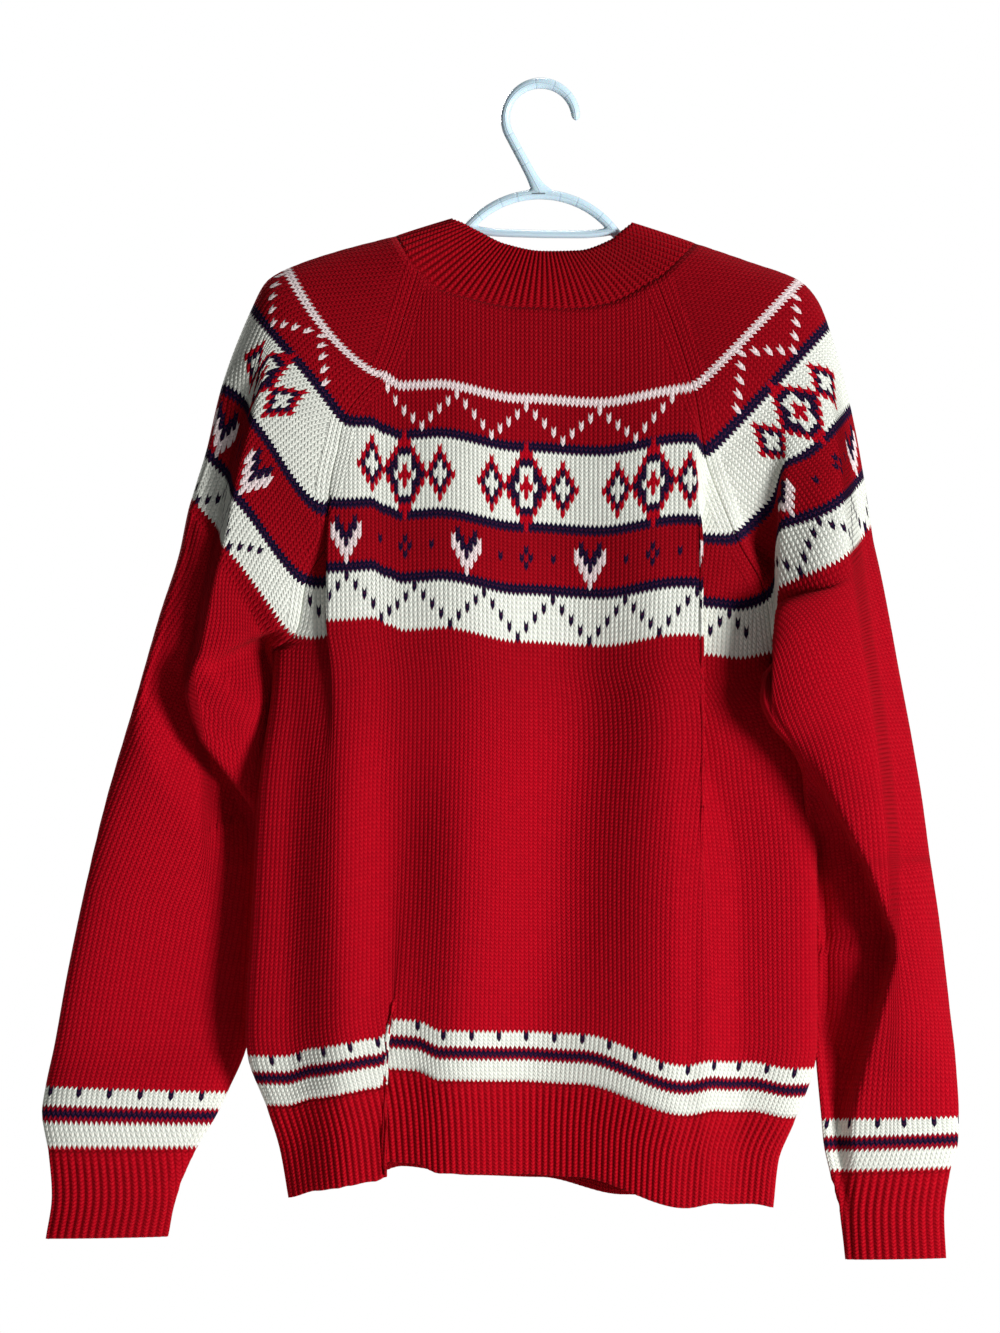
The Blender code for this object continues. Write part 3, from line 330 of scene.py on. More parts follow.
RIGHT_SLEEVE = Table(
    SLEEVE_COLUMNS,
    (
        (-14.5, 0, 0, 0, 110.2, -111.6, 0, 18, 14, 0, 1.0, 1.2),
        (-7.0, 0, 0, 0, 150.0, -125.0, 0, 26, 16, 0, 1.0, 1.2),
        (0.0, 0, 0, 0, 187.2, -139.0, 0, 32, 18, 0, 1.1, 1.2),
        (3.0, 0, 0, 0, 200.2, -153.4, 0, 34, 19, 0, 1.1, 1.2),
        (6.0, 0, 0, 0, 207.4, -170.6, 0, 37, 20, 0, 1.1, 1.2),
        (16.0, 0, 0, 0, 223.9, -231.1, 0, 46, 21, 0, 1.2, 1.2),
        (24.0, 0, 0, 0, 232.6, -277.2, 0, 54, 20, 0, 1.4, 1.2),
        (29.0, 0, 0, 0, 237.6, -310.3, 0, 58, 18, 0, 1.7, 1.2),
        (31.0, 170.0, -416.2, -4, 240.0, -326.0, 0, 59, 17, 0, 1.9, 1.2),
        (33.5, 163.0, -421.0, -22, 243.0, -339.0, 0, 60, 14, -4, 2.3, 0.7),
        (36.5, 159.0, -427.0, -34, 246.5, -355.0, 0, 61, 12, -6, 2.5, 0.7),
        (42.0, 157.0, -440.0, -38, 252.5, -386.0, 0, 62, 10, -8, 2.6, 0.7),
        (48.0, 163.0, -456.0, -38, 258.5, -419.0, 0, 62, 10, -8, 2.6, 0.7),
        (56.0, 182.2, -480.0, -30, 266.5, -461.0, 0, 60, 12, -5, 2.6, 0.7),
        (60.0, 188.0, -496.0, -20, 270.6, -484.0, 1, 60, 14, 0, 2.4, 0.8),
        (64.5, 189.0, -514.0, -6, 275.1, -511.0, 1, 60, 15, 0, 2.4, 1.0),
        (71.0, 190.0, -549.0, 6, 280.6, -552.0, 1, 58, 18, 0, 2.2, 1.6),
        (74.0, 190.5, -565.0, 8, 281.5, -558.0, 1, 57, 18, 0, 2.2, 1.8),
        (80.0, 195.5, -598.0, 8, 287.8, -600.0, 1, 53, 18, 0, 2.0, 2.2),
        (92.0, 195.5, -660.0, 7, 295.5, -665.0, 1, 45, 17, 0, 1.8, 2.2),
        (99.0, 198.5, -700.0, 4, 300.0, -706.0, 1, 29, 15, 0, 1.4, 2.2),
        (104.0, 202.0, -738.0, 1, 301.7, -736.6, 1, 17, 13, 0, 2.0, 2.2),
        (108.0, 204.0, -760.0, 0, 301.5, -757.0, 1, 15, 11, 0, 2.2, 2.2),
        (111.5, 208.5, -781.0, 0, 296.0, -779.0, 0, 12, 9, 0, 2.2, 2.2),
        (117.0, 216.0, -812.0, 0, 291.6, -812.0, 0, 11, 8, 0, 2.2, 2.2),
        (123.0, 219.5, -843.5, 0, 293.0, -842.5, 0, 11, 8, 0, 2.2, 2.2),
    ),
)

# Fold edges that run across a sleeve's near layer: how far each is felt, how far one side laps over
# the other, and its path as x, z, depth and lift. The cloth on the path's left, seen along it, lies
# deeper by depth, and on its right rises by lift.
LEFT_CREASES = {
    "outer facet": (
        44.0,
        6.0,
        (
            (-203, -560, 0, 0), (-203, -540, 6, 0), (-207, -520, 14, 0), (-217.5, -505, 20, 0),
            (-231, -487, 22, 0), (-244, -470, 22, 0), (-250.5, -453, 22, 0), (-254.5, -437, 22, 0),
            (-253.5, -424, 20, 0), (-246, -400, 13, 0), (-239, -362, 11, 0), (-231, -330, 11, 0),
            (-219.6, -273, 10, 0), (-206.6, -224, 8, 0), (-200, -195, 0, 0),
        ),
    ),
    "underarm lip": (
        50.0,
        4.0,
        (
            (-188, -393, 8, 0), (-200, -395, 14, 0), (-216, -402.5, 14, 0), (-235, -412.5, 8, 0),
            (-243, -420, 0, 0),
        ),
    ),
}
RIGHT_CREASES = {
    "overlap": (
        90.0,
        5.0,
        (
            (223, -850, 4, 0), (220.3, -779, 6, 0), (219.6, -750, 11, 0), (223.2, -728.6, 14, 0),
            (230.4, -701.3, 18, 0), (241.9, -662.4, 24, 0), (252.5, -625, 29, 0), (252, -609.8, 31, 0),
            (244.1, -589, 32, 0), (232.6, -559.4, 32, 0), (218.9, -534.2, 28, 0), (205, -510, 18, 0),
            (190, -485, 4, 0),
        ),
    ),
    "yoke fold": (
        60.0,
        5.0,
        (
            (167, -400, 20, 38), (169, -355, 20, 38), (170.6, -325, 16, 30), (170.6, -297, 10, 20),
            (172, -272, 5, 8), (176, -246, 0, 0),
        ),
    ),
    "outer facet": (
        36.0,
        0.0,
        (
            (222, -285, 0, 0), (223.9, -313.2, 6, 0), (232.6, -382.3, 9, 0), (244.8, -463.7, 10, 0),
            (253.4, -541.4, 8, 0), (256, -600, 0, 0),
        ),
    ),
}

# Neckband: its top edge's drop below the line between its corners, and how far it stands out.
BAND_NEAR = Table(
    "share drop out",
    (
        (0, 0, 0), (0.05, 2.6, 7), (0.14, 8.5, 9), (0.3, 18, 11), (0.5, 22.5, 13), (0.7, 21.5, 12),
        (0.88, 13, 9), (0.95, 5.5, 7), (1, 0, 0),
    ),
)
BAND_FAR = Table(
    "share drop out",
    (
        (0, 0, 0), (0.05, 9, 7), (0.15, 30, 9), (0.35, 48, 11), (0.5, 52, 11), (0.65, 48, 11),
        (0.85, 30, 9), (0.95, 9, 7), (1, 0, 0),
    ),
)

# Hanger: half its height across its middle line, and how far the bar lies below the arch's crown.
HOOK_HALF = Table("share half", ((0, 3.2), (0.2, 3.7), (0.45, 4.1), (0.75, 3.4), (1, 3.5)))
NECK_HALF = Table("share half", ((0, 3.5), (0.6, 3.8), (0.85, 5.0), (1, 8.0)))
ARCH_HALF = Table("along half", ((0, 3.7), (50, 3.6), (62, 4.0), (180, 4.0)))
BRACE = Table("along drop", ((0, 28.6), (30, 28.2), (43, 27.0), (51, 25.6)))
TUBE_APART = 1000  # keeps lengths along one rod apart from those along the next
# Where short lines cross the rods, as x and z.
MOULD_MARKS = (
    (-3.6, 5.8), (10.8, 4.3), (21.6, -2.9), (-20.9, -33.1), (-15.1, -43.9), (-10.1, -54.7),
    (-28.8, -81.4), (-16.6, -77.0), (14.4, -77.0), (26.6, -82.1), (43.2, -92.9), (48.2, -99.4),
    (-43.9, -92.9),
)


# How bluntly a sleeve folds over the arm.
CREST_ROUNDS = {
    Hand.LEFT: Table("row round", ((0, 3.2), (24, 3.4), (44, 2.2), (90, 2.2))),
    Hand.RIGHT: Table("row round", ((0, 2.6), (24, 2.6), (44, 2.0), (90, 2.0))),
}

# Stitches from a sleeve's fold over the arm to the wale through its large diamond. A fold down the
# sleeve hides the stitches between near and outer, which are the counts on its two sides.
SLANTS = {
    Hand.LEFT: Table(
        "row near outer",
        (
            (-14.5, -24, -24), (1.5, -17.8, -17.8), (5, -16.8, -17), (10.5, -10.5, -17.2),
            (20, -4, -19.5), (31, 1, -18), (50, 0, -10), (80, -2, -2),
        ),
    ),
    Hand.RIGHT: Table(
        "row near outer",
        (
            (-14.5, -28, -28), (1, -21.6, -21.6), (5, -20.5, -20.7), (10, -16.7, -17.1),
            (20, -11.3, -21), (31, -6, -20), (45, 2, -14), (60, 6, -6), (80, 7, 2), (111, 7, 7),
        ),
    ),
}
HIDING_FOLDS = {
    Hand.LEFT: Table(
        "z x",
        (
            (-500, -240), (-462, -246), (-422, -252), (-395, -246), (-362, -239), (-330, -231),
            (-273, -219.6), (-224, -206.6), (-195, -198), (-120, -176),
        ),
    ),
    Hand.RIGHT: Table(
        "z x",
        (
            (-541, 253.4), (-463.7, 244.8), (-382, 232.6), (-313, 223.9), (-258, 218), (-225, 213),
            (-190, 207), (-120, 180),
        ),
    ),
}
HIDING_WIDTH = 11.0

# How far a sleeve's rows hang down beside its seam.
DIPS = {
    Hand.LEFT: Table("row dip", ((-3, 0), (5, -6), (10, 8), (16, 24), (24, 8), (31, 0))),
    Hand.RIGHT: Table("row dip", ((-3, 0), (6, 0), (31, 0))),
}


def ease(t: np.ndarray | float) -> np.ndarray:
    """0 to 1 with level ends."""
    t = np.clip(t, 0.0, 1.0)
    return t * t * (3 - 2 * t)


def blunt(t: np.ndarray, power: np.ndarray | float) -> np.ndarray:
    """A quarter of a superellipse: 1 at t 0, 0 at t 1."""
    return (1 - np.clip(t, 0, 1) ** power) ** (1 / power)


def lap(place: np.ndarray) -> np.ndarray:
    """How both sides of a fold move over it: 1 and -1 at a width's distance, and 0 on it and far off."""
    return place * np.exp(0.5 - 0.5 * place * place)


def turn(away: np.ndarray, row: np.ndarray | float) -> np.ndarray:
    """How far a row rises at a distance from a raglan seam."""
    return TURN.at("rise", row) * (np.hypot(away, TURN_WIDTH) - np.abs(away)) / TURN_WIDTH


def arc_length(points: np.ndarray) -> np.ndarray:
    """Distance along a row of points, from its first."""
    return np.concatenate([[0.0], np.cumsum(np.linalg.norm(np.diff(points, axis=0), axis=1))])


def step_between(
    where: np.ndarray, places: Sequence[np.ndarray | float], values: Sequence[np.ndarray | float]
) -> np.ndarray:
    """Runs smoothly from the value at each place to the next one's.

    Args:
        where: Where to read.
        places: The places, from the lowest.
        values: The value at each place.

    Returns:
        The value at each point of where.
    """
    total = values[0]
    for k in range(len(places) - 1):
        share = (where - places[k]) / (places[k + 1] - places[k])
        total = total + (values[k + 1] - values[k]) * ease(share)
    return total


@dataclass(frozen=True)
class Course:
    """A dense row of points across a piece, with the stitch and the row at each."""

    points: np.ndarray
    stitches: np.ndarray
    rows: np.ndarray


class Lines:
    """Lines down one layer of the body, with a value at each of a few rows."""

    def __init__(self, columns: str, rows: Rows) -> None:
        """Keeps the lines.

        Args:
            columns: The names of their columns.
            rows: The lines, from left to right.
        """
        self.place_rows = PLACE_ROWS[columns]
        self.value_rows = LIFT_ROWS if columns == LIFT_COLUMNS else OUT_ROWS
        self.lines = rows

    def read(self, x: np.ndarray, row: np.ndarray) -> np.ndarray:
        """Reads the value, which runs smoothly from line to line.

        Args:
            x: Places across the layer.
            row: The row at each.

        Returns:
            Millimetres at each place.
        """
        first = len(self.place_rows)
        places = [step_between(row, self.place_rows, line[:first]) for line in self.lines]
        values = [step_between(row, self.value_rows, line[first:]) for line in self.lines]
        return step_between(x, places, values)


class Body:
    """The two layers of the body, from the neck to the hem."""

    def __init__(self) -> None:
        """Reads the folds and each layer's gauge at the underarm."""
        self.lifts = {
            Layer.NEAR: Lines(LIFT_COLUMNS, BACK_LIFTS),
            Layer.FAR: Lines(LIFT_COLUMNS, FRONT_LIFTS),
        }
        self.folds = {
            Layer.NEAR: Lines(FOLD_COLUMNS, BACK_FOLDS),
            Layer.FAR: Lines(FOLD_COLUMNS, FRONT_FOLDS),
        }
        self.sign = {Layer.NEAR: -1.0, Layer.FAR: 1.0}
        self.gauge: dict[Layer, tuple[float, float]] = {}
        for layer in Layer:
            self.course(layer, UNDERARM)

    def point(self, layer: Layer, x: np.ndarray | float, row: np.ndarray | float) -> np.ndarray:
        """Finds points of a layer.

        Args:
            layer: The layer.
            x: Places across it.
            row: The row at each.

        Returns:
            An array of x, y, z.
        """
        x, row = np.broadcast_arrays(np.asarray(x, float), np.asarray(row, float))
        left, right = BODY.at("left", row), BODY.at("right", row)
        share = np.clip((x - left) / (right - left), 0, 1)
        seam = BODY.at("seam_left", row) * (1 - share) + BODY.at("seam_right", row) * share
        crown = blunt(np.abs(2 * share - 1), CROWN_ROUNDS[layer])
        out = BODY.at(layer.value, row) + self.folds[layer].read(x, row)
        lift = self.lifts[layer].read(x, row)
        side = self.lifts[Layer.NEAR].read(x, row) - lift
        lift = lift + side * (1 - ease(np.minimum(share, 1 - share) / SIDE_SHARE)) * (row >= 0)
        for hand in Hand:
            lift = lift + turn(x - SEAMS.at(f"{layer.value}_{hand.value}", row), row)
        z = BODY.at("level", row) + lift
        if layer is Layer.NEAR:
            for tuck in TUCKS.values():
                place = (x - tuck.at("x", row)) / TUCK_WIDTH
                x = x - tuck.at("lap", row) * lap(place)
        return np.stack([x, seam + self.sign[layer] * out * crown, z], axis=-1)

    def edges(self, layer: Layer, row: float) -> tuple[float, float]:
        """Finds the ends of a row: on the raglan seams, and below them on the side seams.

        Args:
            layer: The layer.
            row: The row.

        Returns:
            The x of its left and its right end.
        """
        if row < UNDERARM:
            name = layer.value
            return float(SEAMS.at(name + "_left", row)), float(SEAMS.at(name + "_right", row))
        return float(BODY.at("left", row)), float(BODY.at("right", row))

    def course(self, layer: Layer, row: float, neck: float = 0.0) -> Course:
        """Runs a course across a layer.

        Args:
            layer: The layer.
            row: Its row.
            neck: The share of the way from that row up to the neck edge.

        Returns:
            The course.
        """
        share = (1 - np.cos(np.linspace(0, math.pi, DENSE))) / 2
        table = BACK_NECK if layer is Layer.NEAR else FRONT_NECK
        rows = row + neck * table.at("row", share)
        left, right = self.edges(layer, rows[0])[0], self.edges(layer, rows[-1])[1]
        points = self.point(layer, left + (right - left) * share, rows)
        length = arc_length(points)
        middle = np.interp(MIDDLE, points[:, 0], length)
        gauge = middle / HALF_STITCHES, (length[-1] - middle) / HALF_STITCHES
        if row >= UNDERARM:
            self.gauge.setdefault(layer, gauge)
        else:
            gauge = self.gauge[layer]
        stitches = (length - middle) / np.where(length < middle, gauge[0], gauge[1])
        return Course(points, stitches, rows)


class Crease:
    """A fold edge along a path across a sleeve's near layer."""

    def __init__(self, reach: float, over: float, rows: Rows) -> None:
        """Keeps the path.

        Args:
            reach: How far from the path it is felt.
            over: How far each side moves over the other where it is deepest.
            rows: The path's x, z, depth and lift.
        """
        self.reach, self.lap = reach, over
        self.path = np.array(rows, float)

    def move(self, x: np.ndarray, z: np.ndarray) -> np.ndarray:
        """Measures what the crease does to the cloth.

        Args:
            x: Places across.
            z: Their heights.

        Returns:
            How far the cloth moves there, as an array of x, y, z.
        """
        nearest = np.full(x.shape, np.inf)
        side, depth, lift = np.ones(x.shape), np.zeros(x.shape), np.zeros(x.shape)
        aim = np.zeros(x.shape + (2,))
        for start, end in zip(self.path[:-1], self.path[1:]):
            run = end[:2] - start[:2]
            share = np.clip(((x - start[0]) * run[0] + (z - start[1]) * run[1]) / (run @ run), 0, 1)
            dx, dz = x - start[0] - share * run[0], z - start[1] - share * run[1]
            away = np.hypot(dx, dz)
            closer = away < nearest
            nearest = np.where(closer, away, nearest)
            side = np.where(closer, np.sign(run[0] * dz - run[1] * dx), side)
            aim = np.where(closer[:, None], np.array([-run[1], run[0]]) / np.hypot(*run), aim)
            depth = np.where(closer, start[2] + (end[2] - start[2]) * share, depth)
            lift = np.where(closer, start[3] + (end[3] - start[3]) * share, lift)
        fade = 1 - ease(nearest / self.reach)
        step = ease(0.5 + side * nearest / CREASE_WIDTH)
        over = -self.lap * depth / self.path[:, 2].max() * lap(side * nearest / CREASE_LAP)
        higher = lift * fade * (1 - step)
        return np.stack([aim[:, 0] * over, depth * fade * step, aim[:, 1] * over + higher], axis=1)


class Arm:
    """A raglan sleeve's tube, from the neck seam to the end of its cuff."""

    def __init__(self, hand: Hand, body: Body) -> None:
        """Takes the tables of one side.

        Args:
            hand: Which side.
            body: The body it is sewn to.
        """
        self.hand, self.body = hand, body
        self.table = LEFT_SLEEVE if hand is Hand.LEFT else RIGHT_SLEEVE
        creases = LEFT_CREASES if hand is Hand.LEFT else RIGHT_CREASES
        self.creases = [Crease(*crease) for crease in creases.values()]

    def inner(self, layer: Layer, row: float) -> np.ndarray:
        """Finds where a row starts: on the raglan seam, or below it on the underarm seam.

        Args:
            layer: The layer.
            row: The row.

        Returns:
            The point.
        """
        if row <= UNDERARM:
            x = SEAMS.at(f"{layer.value}_{self.hand.value}", row)
            return self.body.point(layer, x, row)
        return np.array([self.table.at(name, row) for name in ("inner_x", "inner_y", "inner_z")])

    def layer(self, layer: Layer, row: float, neck: float) -> tuple[np.ndarray, np.ndarray]:
        """Runs a course over one layer, from its inner end to the fold over the arm.

        Args:
            layer: The layer.
            row: Its row.
            neck: The share of the way from that row up to the neck edge.

        Returns:
            The points and the row at each.
        """
        near = layer is Layer.NEAR
        share = (1 - np.cos(np.linspace(0, math.pi, DENSE))) / 2
        rows = row + neck * SLEEVE_NECK.at("row", share / 2 if near else 1 - share / 2)
        start = self.inner(layer, rows[0])
        outer = np.array([self.table.at(n, rows[-1]) for n in ("outer_x", "outer_y", "outer_z")])
        points = start + (outer - start) * share[:, None]
        away = share * math.hypot(outer[0] - start[0], outer[2] - start[2])
        points[:, 2] += turn(away, row) - turn(0.0, row) * (1 - share)
        points[:, 1] = outer[1] + (start[1] - outer[1]) * blunt(share, SLEEVE_ROUND)
        roundness = self.table.at("round" if near else "lap", rows)
        swell = blunt(1 - share, roundness) * blunt(share, CREST_ROUNDS[self.hand].at("round", rows))
        depth = self.table.at(layer.value, rows) * (-1.0 if near else 1.0)
        points[:, 1] += (depth - start[1]) * swell
        points[:, 2] -= self.table.at("sag", rows) * 4 * share * (1 - share)
        points[:, 2] -= DIPS[self.hand].at("dip", rows) * DIP_PEAK * share * (1 - share) ** 2
        if near:
            hold = ease(share / CREASE_START) * ease((1 - share) / CREASE_END)
            for crease in self.creases:
                points = points + crease.move(points[:, 0], points[:, 2]) * hold[:, None]
        return points, rows

    def course(self, row: float, neck: float = 0.0) -> Course:
        """Runs a course round the arm, with stitch 0 on the fold over it.

        Args:
            row: Its row.
            neck: The share of the way from that row up to the neck edge.

        Returns:
            The course.
        """
        near, near_rows = self.layer(Layer.NEAR, row, neck)
        far, far_rows = self.layer(Layer.FAR, row, neck)
        points = np.concatenate([near, far[::-1][1:]])
        rows = np.concatenate([near_rows, far_rows[::-1][1:]])
        length = arc_length(points)
        stitches = (length - length[DENSE - 1]) / STITCH
        beyond = points[:, 0] - HIDING_FOLDS[self.hand].at("x", points[:, 2])
        beyond = beyond * (-1 if self.hand is Hand.LEFT else 1)
        outer = ease(0.5 + beyond / HIDING_WIDTH)
        outer[DENSE:] = 1
        slant = SLANTS[self.hand]
        stitches = stitches - slant.at("near", rows) * (1 - outer) - slant.at("outer", rows) * outer
        return Course(points, stitches, rows)


@dataclass
class Sheet:
    """A knitted piece before it has thickness: courses of points down it, columns across.

    Its first and last columns run along its edges. In ids, points that fall together have one number.
    """

    name: str
    places: np.ndarray
    at: np.ndarray
    rows: np.ndarray
    ids: np.ndarray
    flip: bool
    relief: Relief
    strip: int = 0
    wall: float = WALL
    normals: np.ndarray = field(init=False)

    def __post_init__(self) -> None:
        """Adds up the normal at each point."""
        points = self.places.reshape(-1, 3)
        corners = self.quads(self.ids).reshape(-1, 4)
        a, b, c, d = (points[corners[:, k]] for k in range(4))
        normal = np.cross(c - a, d - b)
        self.normals = np.zeros_like(points)
        for k in range(4):
            np.add.at(self.normals, corners[:, k], normal)

    @classmethod
    def knit(
        cls, name: str, courses: list[Course], flip: bool, relief: Relief, closes_at: float = math.inf
    ) -> Sheet:
        """Cuts courses into columns: some that follow each seam, and the rest a fixed part of a stitch.

        Args:
            name: The piece's name.
            courses: Its courses from the top down.
            flip: Whether its stitches run clockwise as its outer side is seen from above.
            relief: How its wales stand out.
            closes_at: The row from which its two edges are one.

        Returns:
            The sheet.
        """
        step = 1 / PER_STITCH
        lowest = min(course.stitches[0] for course in courses)
        highest = max(course.stitches[-1] for course in courses)
        columns = np.arange(math.floor(lowest), math.ceil(highest) + step / 2, step)
        strip = np.arange(0, SEAM_WALES + step / 2, step)
        edge = len(strip) - 1
        places, ats, rows, ids = [], [], [], []
        for number, course in enumerate(courses):
            low, high = course.stitches[0], course.stitches[-1]
            width = min(SEAM_WALES, MOST_SEAM * (high - low))
            along = strip * width / SEAM_WALES
            middle = np.clip(columns, low + width, high - width)
            at = np.concatenate([low + along, middle, high - along[::-1]])
            own = np.arange(len(at))
            first, last = edge + 1, len(at) - edge - 1
            own[first:last][columns <= low + width + NEAREST * step] = edge
            own[first:last][columns >= high - width - NEAREST * step] = len(at) - edge - 1
            if course.rows[0] >= closes_at:
                own[-1] = 0
            line = [np.interp(at, course.stitches, course.points[:, k]) for k in range(3)]
            places.append(np.stack(line, axis=1))
            ats.append(at)
            rows.append(np.interp(at, course.stitches, course.rows))
            ids.append(own + number * len(at))
        arrays = [np.array(values) for values in (places, ats, rows, ids)]
        return cls(name, *arrays, flip=flip, relief=relief, strip=edge)

    def quads(self, numbers: np.ndarray) -> np.ndarray:
        """Reads the corners of every face, outer side out.

        Args:
            numbers: A number at each point.

        Returns:
            Four numbers a face.
        """
        square = (numbers[:-1, :-1], numbers[1:, :-1], numbers[1:, 1:], numbers[:-1, 1:])
        corners = np.stack(square, axis=-1)
        return corners[..., ::-1] if self.flip else corners

    def wales(self) -> list[np.ndarray]:
        """Counts the wales, with a groove at each whole number.

        Returns:
            One count for a rib; for plain knitting, those from the left edge, free and from the right.
        """
        if self.relief is Relief.RIB:
            return [self.at / RIB_STITCHES + 0.5]
        return [self.at - self.at[:, :1], self.at + 0.5, self.at - self.at[:, -1:]]

    def regions(self) -> np.ndarray:
        """Tells which count of wales holds where.

        Returns:
            The count's number for each column of faces.
        """
        count = self.at.shape[1] - 1
        if self.relief is Relief.RIB:
            return np.zeros(count, int)
        region = np.ones(count, int)
        region[: self.strip] = 0
        region[count - self.strip :] = 2
        return region

    def heights(self) -> np.ndarray:
        """Measures the relief down from the wales' crests.

        Returns:
            A height at each point, which is never above zero.
        """
        down = self.rows - self.rows[:1]
        up = self.rows[-1:] - self.rows
        if self.relief is Relief.RIB:
            wave = np.cos(2 * math.pi * self.at / RIB_STITCHES)
            ribs = RIB_DEPTH * (0.5 * np.sign(wave) * np.abs(wave) ** RIB_ROUND - 0.5)
            return np.where(down > 0, ribs * ease(down / RIB_FADE), 0) - SEAM_DEPTH * (1 - ease(down))
        left, free, right = self.wales()
        free = free.copy()
        free[:, : self.strip + 1] = left[:, : self.strip + 1]
        free[:, -self.strip - 1 :] = right[:, -self.strip - 1 :]
        waves = WALE_DEPTH * (np.abs(np.sin(math.pi * free)) ** WALE_ROUND - 1)
        share = ease(np.minimum(down, up) / WALE_FADE)
        return waves * share - SEAM_DEPTH * (1 - share)


def join_normals(sheets: list[Sheet]) -> None:
    """Gives points that meet at a seam one normal, so that the pieces close on each other.

    Args:
        sheets: All the pieces.
    """
    total: dict[tuple[int, ...], np.ndarray] = {}
    shared: list[tuple[Sheet, int, tuple[int, ...]]] = []
    for sheet in sheets:
        ids, points = sheet.ids, sheet.places.reshape(-1, 3)
        border = np.unique(np.concatenate([ids[0], ids[-1], ids[:, 0], ids[:, -1]]))
        for number in border:
            key = tuple(int(value) for value in np.round(points[number] * MATCH))
            shared.append((sheet, int(number), key))
            total[key] = total.get(key, np.zeros(3)) + sheet.normals[number]
    for sheet, number, key in shared:
        sheet.normals[number] = total[key]
    for sheet in sheets:
        lengths = np.linalg.norm(sheet.normals, axis=1, keepdims=True)
        sheet.normals = sheet.normals / np.maximum(lengths, 1e-9)


